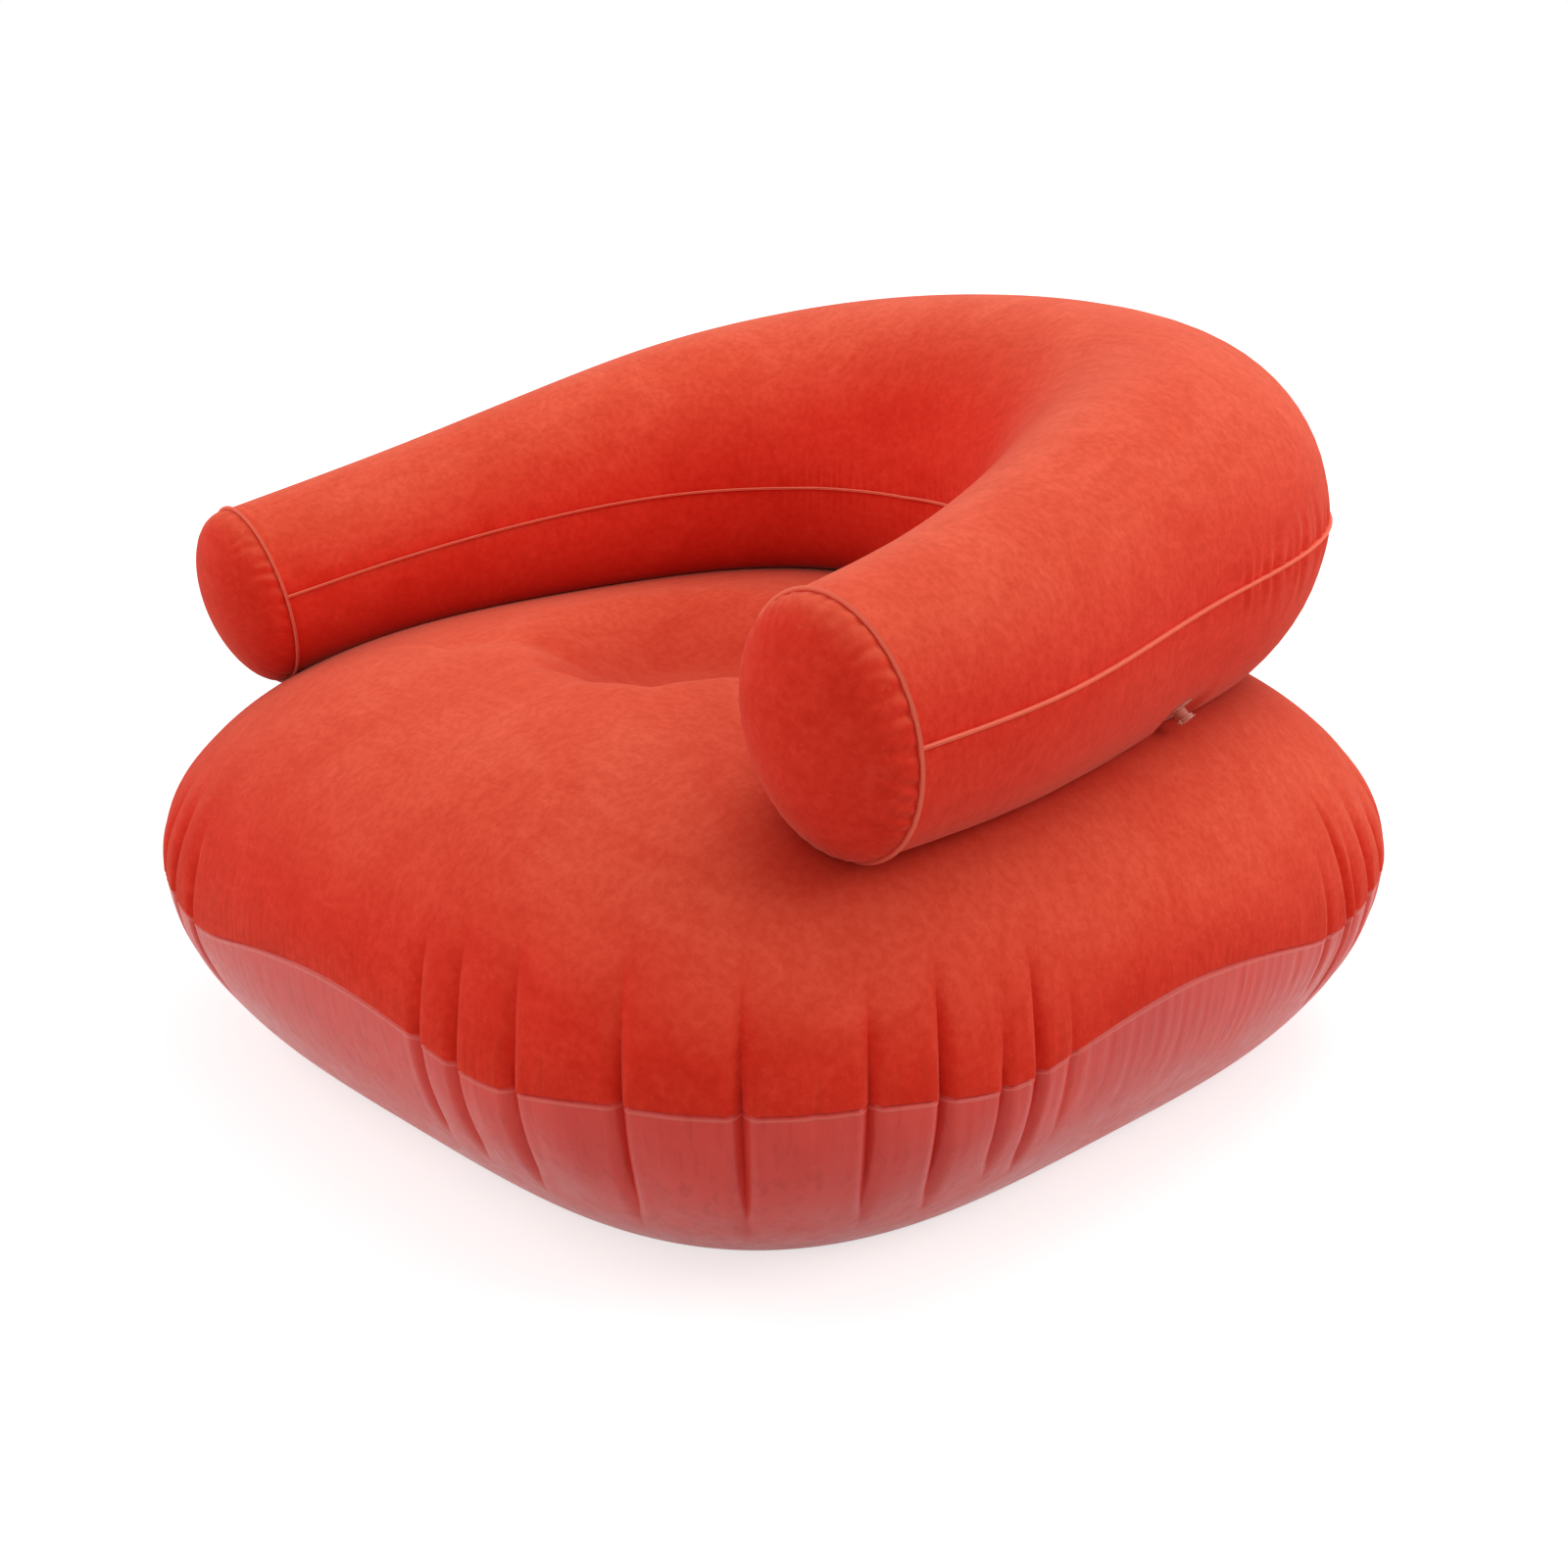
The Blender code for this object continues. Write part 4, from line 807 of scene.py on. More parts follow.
seat = seat_panel()
finish_film(seat, flock, "seat_top_panel", FLOCKED_FILM, outwards=False, smooth_angle=50.0)

# %% [markdown]
# ## Valve seats
# Each valve is a flat vinyl flange welded over a hole in the film. The film lies flat under the flange and
# eases back into its curve beyond it. A Boolean could cut the hole, but it would leave long thin faces in
# the film, so the faces over the hole are taken out and the edge that is left is drawn round.

# %% Valve seats
# the flange's rim is what lies beyond this share of its radius
RIM_SHARE = 0.93
# in reaches of the flange: over how much the flat eases out beside it, and from where to where before it
SIDE_FADE, FACE_START, FACE_FADE = 1.6, 0.4, 1 / 3
# the hole's ragged edge lies within this many radii
RAGGED_EDGE = 1.8
ARM_FLANGE_REACH, ARM_HOLE = 0.018, 0.0112
SCREW_FLANGE_REACH, SCREW_HOLE = 0.032, 0.0215


class ValveSeat:
    """The plane a valve's flange lies on, read from the flange, and the hole under it."""

    def __init__(self, node, axis, reach, hole, on_axis=None):
        points = np.array([v.co for v in frame["nodes"][node].data.vertices])
        self.axis, self.reach, self.hole = np.array(axis) / np.linalg.norm(axis), reach, hole
        centre = points.mean(axis=0) if on_axis is None else np.array(on_axis)
        along = (points - centre) @ self.axis
        away = np.linalg.norm(points - centre - along[:, None] * self.axis, axis=1)
        self.centre = centre + self.axis * (along[away > RIM_SHARE * away.max()].min() - WELD_GAP)

    def distance(self, points):
        along = (points - self.centre) @ self.axis
        return along, np.linalg.norm(points - self.centre - along[:, None] * self.axis, axis=1)

    def flatten(self, points, depth):
        """Moves the points near the flange onto its plane, less and less towards its soft edge."""
        along, away = self.distance(points)
        beside = (away / self.reach - 1) / SIDE_FADE
        before = (np.abs(along) / self.reach - FACE_START) / FACE_FADE
        near = easing_out(beside) * easing_out(before)
        return points - (near * (along + depth))[:, None] * self.axis

    def open(self, obj):
        """Takes out the film inside the hole and draws the edge round."""
        work = bmesh.new()
        work.from_mesh(obj.data)
        centre, axis = Vector(self.centre), Vector(self.axis)

        def split(point):
            offset = point - centre
            along = offset.dot(axis)
            return along, (offset - axis * along).length

        gone = []
        for face in work.faces:
            along, away = split(face.calc_center_median())
            if abs(along) < self.reach and away < self.hole:
                gone.append(face)
        bmesh.ops.delete(work, geom=gone, context="FACES")
        for vert in work.verts:
            along, away = split(vert.co)
            if vert.is_boundary and abs(along) < self.reach and away < RAGGED_EDGE * self.hole:
                flat = (vert.co - centre) - axis * along
                vert.co = centre + axis * along + flat.normalized() * self.hole
        work.to_mesh(obj.data)
        work.free()


joint = {item["name"]: item for item in frame["joints"]}
arm_seat = ValveSeat("arm_valve_flange", joint["stem_push"]["axis"], ARM_FLANGE_REACH, ARM_HOLE)
screw = joint["plug_turn"]
base_seat = ValveSeat(
    "base_valve_flange", screw["axis"], SCREW_FLANGE_REACH, SCREW_HOLE, on_axis=screw["pos_m"]
)
print("arm valve seat", arm_seat.centre.round(4), "base valve seat", base_seat.centre.round(4))

# %% [markdown]
# ## Lower panel
# The smooth half of the pillow starts under the flocked hem, carries the same pleats downwards for a hand's
# width, turns under, and lies flat on the floor, with a small dimple under the tie. It is drawn in rows as
# the seat is, from the same pleats, so that each pleat crosses the seam unbroken.

# %% Lower panel
LOWER_COLUMN_STEP = 0.0046
# how far the film reaches up under the hem, where its second row lies, and how far it lies within the hem
LAP, LAP_ROW, LAP_INSET = 0.008, 0.003, 0.0005
# rows below the seam: close over the groove and the ridge, then even ones, then the turn under the belly
HEM_ROWS = (0.0, 0.0007, 0.0014, 0.0022, 0.0030, 0.0038, 0.0044, 0.0050, 0.0056, 0.0064, 0.0076, 0.0095)
SIDE_STEP, TURN_HEIGHT, TURN_ROWS = 0.0075, 0.032, 8
# distances below the seam: every second column ends, the ruffles are full, the lobes end
HALVING_DOWN, RUFFLES_FULL, LOWER_LOBES_END = 0.148, 0.012, 0.12
# depth, distance below the seam and half width
GROOVE, RIDGE = (0.0016, 0.0014, 0.0012), (0.0006, 0.0048, 0.0010)
RIDGE_BARENESS = 0.65
# on the floor: the rim's share of the belly, the rows to the middle, the dimple's height and radius
FLOOR_RIM_SHARE, FLOOR_ROWS, FLOOR_DIMPLE, FLOOR_DIMPLE_RADIUS = 0.97, 25, 0.030, 0.16


def belly_share(height):
    drop = np.clip((SEAM_HEIGHT - height) / BELLY_DROP, 0, None)
    return (1 - drop ** BELLY_POWERS[1]) ** (1 / BELLY_POWERS[0])


def hem_profile(down):
    """Inset of the film: a groove just under the hem, and beside it the weld's low ridge."""
    groove, ridge = (depth * bell(down - place, width) for depth, place, width in (GROOVE, RIDGE))
    return groove - ridge


def lower_panel():
    seam = Seam(LOWER_COLUMN_STEP)
    inset = FLOCKED_FILM + LAP_INSET
    heights = list(SEAM_HEIGHT - np.array(HEM_ROWS))
    while heights[-1] > TURN_HEIGHT:
        heights.append(heights[-1] - SIDE_STEP)
    heights += list(np.linspace(heights[-1], 0.0, TURN_ROWS)[1:])
    rows, welds = [], []

    def add(row, bareness=0.0):
        rows.append(row)
        welds.extend([bareness] * len(row))

    index = np.arange(len(seam.along))
    lap_share = (1 - (LAP / CROWN_RISE) ** CROWN_POWERS[1]) ** (1 / CROWN_POWERS[0])
    draw = fold_depth(pleats, seam.along, 0.0, False) - lobe_bulge(seam.along, 0.0, LOWER_LOBES_END)
    for share, up in ((lap_share, LAP), (1.0, LAP_ROW)):
        add(seam.row(index, share, SEAM_HEIGHT + up, draw + inset))
    for height in heights:
        down = SEAM_HEIGHT - height
        index = np.arange(len(seam.along))[:: 2 if down > HALVING_DOWN else 1]
        u = seam.along[index]
        draw = fold_depth(pleats, u, down, False) - lobe_bulge(u, down, LOWER_LOBES_END)
        draw += fold_depth(ruffles, u, down, False) * min(1.0, down / RUFFLES_FULL)
        row = seam.row(index, belly_share(height), height, draw + inset + hem_profile(down))
        add(row, RIDGE_BARENESS * bell(down - RIDGE[1], RIDGE[2]))
    index = index[::2]
    rim = seam.row(index, belly_share(0.0) * FLOOR_RIM_SHARE, 0.0, np.full(len(index), inset))
    for share in np.arange(FLOOR_ROWS) / FLOOR_ROWS:
        x = rim[:, 0] * (1 - share) + TIE_PLACE[0] * share
        y = rim[:, 1] * (1 - share) + TIE_PLACE[1] * share
        lift = FLOOR_DIMPLE * dimple_weight(x, y, DIMPLE_FLOOR, FLOOR_DIMPLE_RADIUS)
        add(np.column_stack([x, y, lift]))
    points, faces = bridge_rows(rows, False)
    points[:, 1] += MIDDLE_Y
    points = base_seat.flatten(points, 0.0)
    made = sheet_object("base_lower", points, faces, weld=[*welds, 0.0])
    base_seat.open(made)
    return made


base = lower_panel()
finish_film(base, film, "base_lower_panel", SMOOTH_FILM, outwards=False, smooth_angle=50.0)

# %% [markdown]
# ## The horseshoe tube
# The arms and the back are one tube. Two long flocked panels meet at a weld along its outside and another
# along its inside, and a round disc closes each end. The tube swells from a slim front to a fat back. A
# bevelled curve could make a tube, but not one that is flattened where it lies on the seat. So sections are
# placed along a middle line, which is a smooth curve through a few stations, mirrored left and right.

# %% Middle line of the tube
TUBE_X = np.array((0.776, 0.741, 0.636, 0.4386, 0.0)) * HALF_WIDTH
TUBE_Y = np.array((-0.607, -0.311, 0.146, 0.568, 0.708)) * HALF_DEPTH
TUBE_HALF_WIDTHS = np.array((0.085, 0.104, 0.127, 0.184, 0.177))
TUBE_HALF_HEIGHTS = np.array((0.1135, 0.129, 0.162, 0.184, 0.194))
TUBE_BEDDINGS = np.array((-0.015, 0.030, 0.063, 0.059, 0.042))
# the arms' ends lean forward at the top, less and less over this share of the tube
END_LEAN, LEAN_SHARE = math.tan(math.radians(10.5)), 0.22


def natural_spline(at, values, wanted):
    """A natural cubic spline through values at the places at, read at the places wanted."""
    step, count = np.diff(at), len(at)
    system, right = np.eye(count), np.zeros(count)
    for i in range(1, count - 1):
        system[i, i - 1 : i + 2] = step[i - 1], 2 * (step[i - 1] + step[i]), step[i]
        slopes = np.diff(values[i - 1 : i + 2]) / step[i - 1 : i + 1]
        right[i] = 6 * (slopes[1] - slopes[0])
    bend = np.linalg.solve(system, right)
    k = np.clip(np.searchsorted(at, wanted) - 1, 0, count - 2)
    before, after, width = wanted - at[k], at[k + 1] - wanted, step[k]
    return (
        (bend[k] * after**3 + bend[k + 1] * before**3) / (6 * width)
        + (values[k] / width - bend[k] * width / 6) * after
        + (values[k + 1] / width - bend[k + 1] * width / 6) * before
    )


def mirrored(values, sign=1):
    return np.concatenate([values, sign * values[-2::-1]])


TUBE_Z = crown_height(TUBE_X, TUBE_Y) + TUBE_HALF_HEIGHTS - TUBE_BEDDINGS
knot_x, knot_y = mirrored(TUBE_X, -1), mirrored(TUBE_Y)
knots = way_along(knot_x, knot_y)
close = np.linspace(0, knots[-1], 4001)
line_x, line_y = natural_spline(knots, knot_x, close), natural_spline(knots, knot_y, close)
line_length = way_along(line_x, line_y)
TUBE_LENGTH = line_length[-1]
print("tube's middle line", round(TUBE_LENGTH, 3), "m")

# %% Sections of the tube
# the photograph's far arm ends lower, rounder and a little further out than the near one
FAR_END_LENGTH, FAR_END_REACH, FAR_END_DROP = 0.55, 0.020, 0.004
FAR_END_LOWER_SHARE, FAR_END_WIDER_SHARE = 0.155, 0.02
FAR_WELD_RISE = math.radians(8.0)
# the two points whose difference gives the tube's direction lie this far to each side
SLIP = 0.0005
# the gap to the seat, the height over which the tube turns to lie on it, and how far up its painted shade reaches
REST_GAP, REST_BLEND, PAINTED_SHADE_REACH = 0.0012, 0.004, 0.040


def far_end(along):
    """0 along most of the tube, rising to 1 at the far arm's end."""
    return np.clip(1 - (TUBE_LENGTH - along) / FAR_END_LENGTH, 0, 1) ** 2


class Tube:
    """The tube's sections at places along its middle line, in metres from the right arm's front."""

    def __init__(self, along):
        at = np.interp(along, line_length, close)

        def read(values):
            return natural_spline(knots, values, at)

        self.along = along
        self.middle = np.column_stack([read(knot_x), read(knot_y), read(mirrored(TUBE_Z))])
        ahead = np.column_stack([
            natural_spline(knots, v, np.clip(at + SLIP, 0, knots[-1]))
            - natural_spline(knots, v, np.clip(at - SLIP, 0, knots[-1]))
            for v in (knot_x, knot_y)
        ])
        ahead /= np.linalg.norm(ahead, axis=1)[:, None]
        self.ahead = np.column_stack([ahead, np.zeros(len(ahead))])
        self.outward = np.column_stack([ahead[:, 1], -ahead[:, 0], np.zeros(len(ahead))])
        tall = read(mirrored(TUBE_HALF_HEIGHTS))
        self.tall = tall * (1 - FAR_END_LOWER_SHARE * far_end(along))
        self.wide = read(mirrored(TUBE_HALF_WIDTHS)) * (1 + FAR_END_WIDER_SHARE * far_end(along))
        self.middle[:, 2] -= tall - self.tall + FAR_END_DROP * far_end(along)
        self.middle += self.ahead * (FAR_END_REACH * far_end(along))[:, None]
        self.easing = np.zeros_like(self.middle)
        front, rear = (np.clip(1 - way / LEAN_SHARE / TUBE_LENGTH, 0, 1) ** 2
                       for way in (along, TUBE_LENGTH - along))
        self.lean = END_LEAN * (front - rear)

    def ring(self, turn, spread=0.0, lift=0.0, ahead=0.0, size=1.0):
        """Points at one angle round the tube for every section, or at one angle each."""
        out = (self.wide * size + spread) * np.cos(turn)
        height = (self.tall * size + spread) * np.sin(turn) + lift
        forward = ahead - self.lean * height
        point = self.middle + self.outward * out[:, None] + self.ahead * forward[:, None]
        point += self.easing * np.clip(-np.cos(turn), 0, 1).reshape(-1, 1) ** 1.5
        point[:, 2] += height
        resting = bedded(point)
        lifted = resting[:, 2] - point[:, 2]
        return resting - self.ahead * (self.lean * lifted)[:, None]


def bedded(point):
    """Lifts what would sink into the crown, with a soft turn where the tube comes to lie on it."""
    floor_height = crown_height(point[:, 0], point[:, 1]) + REST_GAP
    above = REST_BLEND * np.logaddexp(0, (point[:, 2] - floor_height) / REST_BLEND)
    return np.column_stack([point[:, :2], floor_height + above])


def contact_share(points):
    """Share of painted shade: 1 where the tube touches the seat, fading to 0 within a few centimetres."""
    clear = points[:, 2] - crown_height(points[:, 0], points[:, 1]) - REST_GAP
    return np.exp(-np.clip(clear, 0, None) / PAINTED_SHADE_REACH)


# %% [markdown]
# The inner weld does not run level: along each arm it lies higher on the tube, by about ten degrees round
# it, and at the back it sinks a little. Moving the weld's points by hand would crease the panel, so the
# angle is read from a smooth curve through a few places, and the rows share out the turn up to it.

# %% Rise of the inner weld
RISE_PLACES = np.array((0.0, 0.09, 0.25, 0.44, 0.62, 0.94))
RISE_DEGREES = np.array((0.0, 6.5, 10.2, 7.5, 1.5, -2.8))


def weld_rise(along):
    from_end = np.minimum(along, TUBE_LENGTH - along)
    rise = np.radians(natural_spline(RISE_PLACES, RISE_DEGREES, from_end))
    return rise + FAR_WELD_RISE * far_end(along)


print("inner weld rises by up to", round(math.degrees(weld_rise(line_length).max()), 1), "degrees")

# %% [markdown]
# Where the tube bends, film that was cut flat has to gather beside the weld: short puckers stand across
# the outer weld round the back's corners, and finer ones along the inside. A bump could fake them, but
# they show in the outline, so the film itself is drawn in and out by a millimetre or two.

# %% Puckers beside the welds
# strength, reach away from the weld and steps between them, the last in shares of the spacing
PUCKER_STRENGTH, PUCKER_REACH, PUCKER_STEPS = (0.5, 1.0), (0.025, 0.065), (0.6, 1.5)
# a pucker's share at the weld itself, where it is full, how it leans, and the two lips beside its valley
WELD_SHARE, PUCKER_FULL, PUCKER_LEAN, PUCKER_LIP, LIP_PLACE = 0.35, 0.008, 0.25, 0.6, 1.9


def pucker_places(first, last, spacing, seed):
    rng = np.random.default_rng(seed)
    place, made = first, []
    while place < last:
        made.append((place, rng.uniform(*PUCKER_STRENGTH), rng.uniform(*PUCKER_REACH), rng.uniform(-1, 1)))
        place += spacing * rng.uniform(*PUCKER_STEPS)
    return made


def pucker_height(along, away, marks, size, width):
    """Height of the puckers at places along a weld, away metres from it."""
    total = np.zeros(len(along))
    for place, strength, reach, lean in marks:
        if away >= reach:
            continue
        fade = (1 - away / reach) ** 1.5 * min(1.0, WELD_SHARE + away / PUCKER_FULL)
        offset = (along - place - PUCKER_LEAN * lean * away) / width
        lips = PUCKER_LIP * bell(np.abs(offset) - LIP_PLACE, 1.0)
        total += size * strength * fade * (lips - bell(offset, 1.0))
    return total


# %% [markdown]
# ## Tube panels
# Each panel is drawn row by row from the outer weld, over the tube, to the inner weld. The first rows make
# the weld itself, a pinched bead that stands a few millimetres proud, in a slight valley. A separate cord
# along the seam would be easier, but a real weld is the two films' own edges, so the bead is part of each.

# %% Tube panels
LIP, BEAD, HALF_TURN = 0.0032, 0.0006, math.pi
# rows of the weld, from its edge to its root: share of the lip, swell, and how bare the film is
BEAD_ROWS = ((1.0, 0.0, 1.0), (0.85, 0.9, 1.0), (0.5, 1.0, 1.0), (0.2, 0.5, 0.7))
# the tube bends most here, and within this reach of it needs close columns
BEND_PLACE, BEND_REACH, CLOSE_STEP, WIDE_STEP = 0.68, 0.23, 0.0018, 0.0044
# where puckers start and end along the tube, and their mean spacing
OUTER_START, OUTER_END, OUTER_SPACING = 0.46, 0.84, 0.016
INNER_START, INNER_SPACING = 0.45, 0.024
OUTER_MARKS = [
    *pucker_places(OUTER_START, OUTER_END, OUTER_SPACING, seed=3),
    *pucker_places(TUBE_LENGTH - OUTER_END, TUBE_LENGTH - OUTER_START, OUTER_SPACING, seed=4),
]
INNER_MARKS = pucker_places(INNER_START, TUBE_LENGTH - INNER_START, INNER_SPACING, seed=5)
# height and half width of the puckers by each weld, and depth and reach of the valley beside a weld
OUTER_PUCKER, INNER_PUCKER, WELD_VALLEY = (0.0030, 0.0048), (0.0009, 0.0050), (0.0016, 0.007)
# the inner weld is eased over this length, and not within this distance of the ends
EASING_SPREAD, EASING_START = 0.09, 0.15


def tube_columns():
    """Close columns where the tube bends and its welds pucker, wider ones along the arms."""
    marks, place = [0.0], 0.0
    while place < TUBE_LENGTH:
        bend = min(abs(place - BEND_PLACE), abs(TUBE_LENGTH - place - BEND_PLACE))
        place += CLOSE_STEP if bend < BEND_REACH else WIDE_STEP
        marks.append(place)
    return np.array(marks) * TUBE_LENGTH / marks[-1]


def tube_turns():
    """Shares of the half turn: close together beside the two welds, wide between them."""
    start = [0.0, 0.006, 0.013, 0.022, 0.034, 0.048, 0.065, 0.085, 0.11]
    middle = list(np.linspace(0.14, 0.86, 26))
    return np.array([*start, *middle, *(1 - share for share in reversed(start))])


def inner_easing(tube):
    """Draws the inner weld's path smooth where it turns sharply, as film under air pressure does."""
    inner = tube.middle - tube.outward * tube.wide[:, None]
    weight = bell(tube.along[:, None] - tube.along, EASING_SPREAD) * np.gradient(tube.along)
    eased = weight @ inner / weight.sum(axis=1)[:, None] - inner
    from_end = np.minimum(tube.along, TUBE_LENGTH - tube.along)
    eased[:, 2] = 0.0
    return eased * np.clip(from_end / EASING_START - 1, 0, 1)[:, None]


tube = Tube(tube_columns())
tube.easing = inner_easing(tube)
print("inner weld eased by up to", round(1000 * float(np.linalg.norm(tube.easing, axis=1).max()), 1), "mm")
print("tube columns", len(tube.along), "rows", len(tube_turns()))


def tube_panel(name, side, node):
    """Upper half with side 1, lower half with side -1: the film's inner face, thickened outwards."""
    shares = tube_turns()
    turns = side * HALF_TURN * shares
    inner_edge = HALF_TURN - side * weld_rise(tube.along)
    lift = side * WELD_GAP / 2
    ahead = np.zeros(len(tube.along))
    ahead[0], ahead[-1] = WELD_GAP / 2, -WELD_GAP / 2
    rows, welds = [], []
    for share, swell, bare in BEAD_ROWS:
        rows.append(tube.ring(turns[0], LIP * share, lift + side * BEAD * swell, ahead))
        welds.append(bare)
    radius = tube.tall.mean()
    for share in shares:
        turn = side * share * inner_edge
        outer_way, inner_way = share * HALF_TURN * radius, (1 - share) * HALF_TURN * radius
        swell = pucker_height(tube.along, outer_way, OUTER_MARKS, *OUTER_PUCKER)
        swell += pucker_height(tube.along, inner_way, INNER_MARKS, *INNER_PUCKER)
        swell -= WELD_VALLEY[0] * sum(math.exp(-way / WELD_VALLEY[1]) for way in (outer_way, inner_way))
        rows.append(tube.ring(turn, swell - FLOCKED_FILM, lift, ahead))
        welds.append(0.0)
    for share, swell, bare in reversed(BEAD_ROWS):
        rows.append(tube.ring(side * inner_edge, LIP * share, lift + side * BEAD * swell, ahead))
        welds.append(bare)
    grid = np.array(rows)
    height, width = grid.shape[:2]
    points, weld = list(grid.reshape(-1, 3)), list(np.repeat(welds, width))
    faces = []
    for row in range(height - 1):
        for column in range(width - 1):
            a, b = row * width + column, (row + 1) * width + column
            faces.append((a, a + 1, b + 1, b)[::side])
    inner_rows = range(len(BEAD_ROWS), height - len(BEAD_ROWS))
    for column, way in ((0, 1), (width - 1, -1)):
        end = Tube(tube.along[[column]])
        wall = [0, *(row for row in inner_rows), height - 1]
        last = [row * width + column for row in wall[1:-1]]
        for share, swell, bare in reversed(BEAD_ROWS):
            first = way * (WELD_GAP / 2 + BEAD * swell)
            rim = []
            for turn in turns:
                rim.append(len(points))
                points.append(end.ring(turn, LIP * share, lift, first)[0])
                weld.append(bare)
            for row in range(len(turns) - 1):
                faces.append((rim[row], rim[row + 1], last[row + 1], last[row])[:: -side * way])
            last = rim
    points = np.array(points)
    if side < 0:
        points = arm_seat.flatten(points, FLOCKED_FILM)
    # the flock is painted darker, as shade, where the tube lies on the seat
    made = sheet_object(name, points, faces, weld=weld, contact=contact_share(points))
    if side < 0:
        arm_seat.open(made)
    finish_film(made, flock, node, FLOCKED_FILM, outwards=True)


tube_panel("arm_upper", 1, "arm_upper_panel")
tube_panel("arm_lower", -1, "arm_lower_panel")

# %% [markdown]
# ## Painted shade on the seat
# Where the tube lies on the seat shade falls, and a wider, fainter shade lies round it and in the dimple. It is
# painted into the seat's colour. It could be painted by hand, but a formula follows the tube if its shape changes:
# each point of the seat gets its share from its distance to the tube and to the tie.

# %% Painted shade on the seat
# painted shade: most share and reach of the dark band where the tube lies on the seat, and of the wider one round
# it, and the share in the dimple
SHADE_BY_TUBE, SHADE_ROUND_TUBE, SHADE_IN_DIMPLE = (0.74, 0.028), (0.20, 0.12), 0.40
points = np.array([v.co for v in seat.data.vertices])
coarse = Tube(np.linspace(0, TUBE_LENGTH, 160))
clear = np.full(len(points), 1.0)
for middle, wide, tall in zip(coarse.middle, coarse.wide, coarse.tall):
    away = np.linalg.norm((points - middle) * (1, 1, wide / tall), axis=1) - wide
    clear = np.minimum(clear, np.clip(away, 0, None))
shade_darkened = SHADE_IN_DIMPLE * dimple_weight(points[:, 0], points[:, 1], DIMPLE_FLOOR, DIMPLE_RADIUS)
shade_darkened += sum(most * np.exp(-clear / reach) for most, reach in (SHADE_BY_TUBE, SHADE_ROUND_TUBE))
seat.data.attributes.new("contact", "FLOAT", "POINT").data.foreach_set("value", shade_darkened)
print("seat points with nap pressed by half or more:", int((shade_darkened > 0.5).sum()))

# %% [markdown]
# ## End caps
# A flat disc of film is welded into each end of the tube and swells into a shallow dome. The weld stands
# out as a fine ridge, and the disc's rim gathers in short puckers beside it. A squashed sphere would miss
# both, so the dome is drawn in rings, on the tube's own end section.

# %% End caps
CAP_BULGE, CAP_COLUMNS = 0.050, 300
# places of the rings on the dome, in degrees up from its rim
DOME_RINGS = np.radians([0, 1.5, 3.5, 6, 9, 12.5, 16, 20, 24, *np.linspace(28, 84, 20)])
# puckers: spacing and half width, and the share of them that all the rim has; depth and reach of the valley
CAP_SPACING, CAP_PUCKER_WIDTH, EVEN_SHARE, CAP_VALLEY = 0.022, 0.0042, 0.35, (0.0009, 0.005)


def end_cap(name, column, node, seed, pucker):
    way = -1.0 if column == 0 else 1.0
    end = Tube(np.full(CAP_COLUMNS, tube.along[column]))
    turns = np.linspace(0, math.tau, CAP_COLUMNS, endpoint=False)
    start = way * WELD_GAP / 2
    rim = float(end.tall[0])
    marks = pucker_places(0.0, math.tau * rim, CAP_SPACING, seed)
    rows, welds = [], []
    for share, swell, bare in BEAD_ROWS:
        rows.append(end.ring(turns, LIP * share, 0, start + way * BEAD * swell))
        welds.append(bare)
    # the film is gathered most at the tube's own two welds, where the rim is tightest
    gathered = EVEN_SHARE + (1 - EVEN_SHARE) * np.cos(turns) ** 2
    for bend in DOME_RINGS:
        size, out = math.cos(bend), math.sin(bend)
        normal = np.array([size / rim, out / CAP_BULGE])
        normal /= np.linalg.norm(normal)
        away = math.hypot(rim * (1 - size), CAP_BULGE * out)
        swell = gathered * pucker_height(turns * rim, away, marks, pucker, CAP_PUCKER_WIDTH)
        swell -= CAP_VALLEY[0] * math.exp(-away / CAP_VALLEY[1])
        ahead = start + way * (CAP_BULGE * out + normal[1] * swell)
        rows.append(end.ring(turns, normal[0] * swell - FLOCKED_FILM * size, 0, ahead, size))
        welds.append(0.0)
    points, faces = bridge_rows(rows, column == 0)
    weld = [*np.repeat(welds, CAP_COLUMNS), 0.0]
    # the flock is painted darker, as shade, where the cap comes near the seat
    made = sheet_object(name, points, faces, weld=weld, contact=contact_share(points))
    finish_film(made, flock, node, FLOCKED_FILM, outwards=True)


end_cap("end_cap_right", 0, "arm_end_cap_right", seed=8, pucker=0.0026)
end_cap("end_cap_left", -1, "arm_end_cap_left", seed=9, pucker=0.0014)

# %% [markdown]
# ## Turned and moulded valve pieces
# A plug, a cap or a flange comes out of a mould as a round body. On a lathe it would be one profile turned
# about its axis, so here a ring of points is extruded row by row to the next radius and height. The piece
# is made standing at the origin, then laid onto its valve, whose axes are read from the joints.

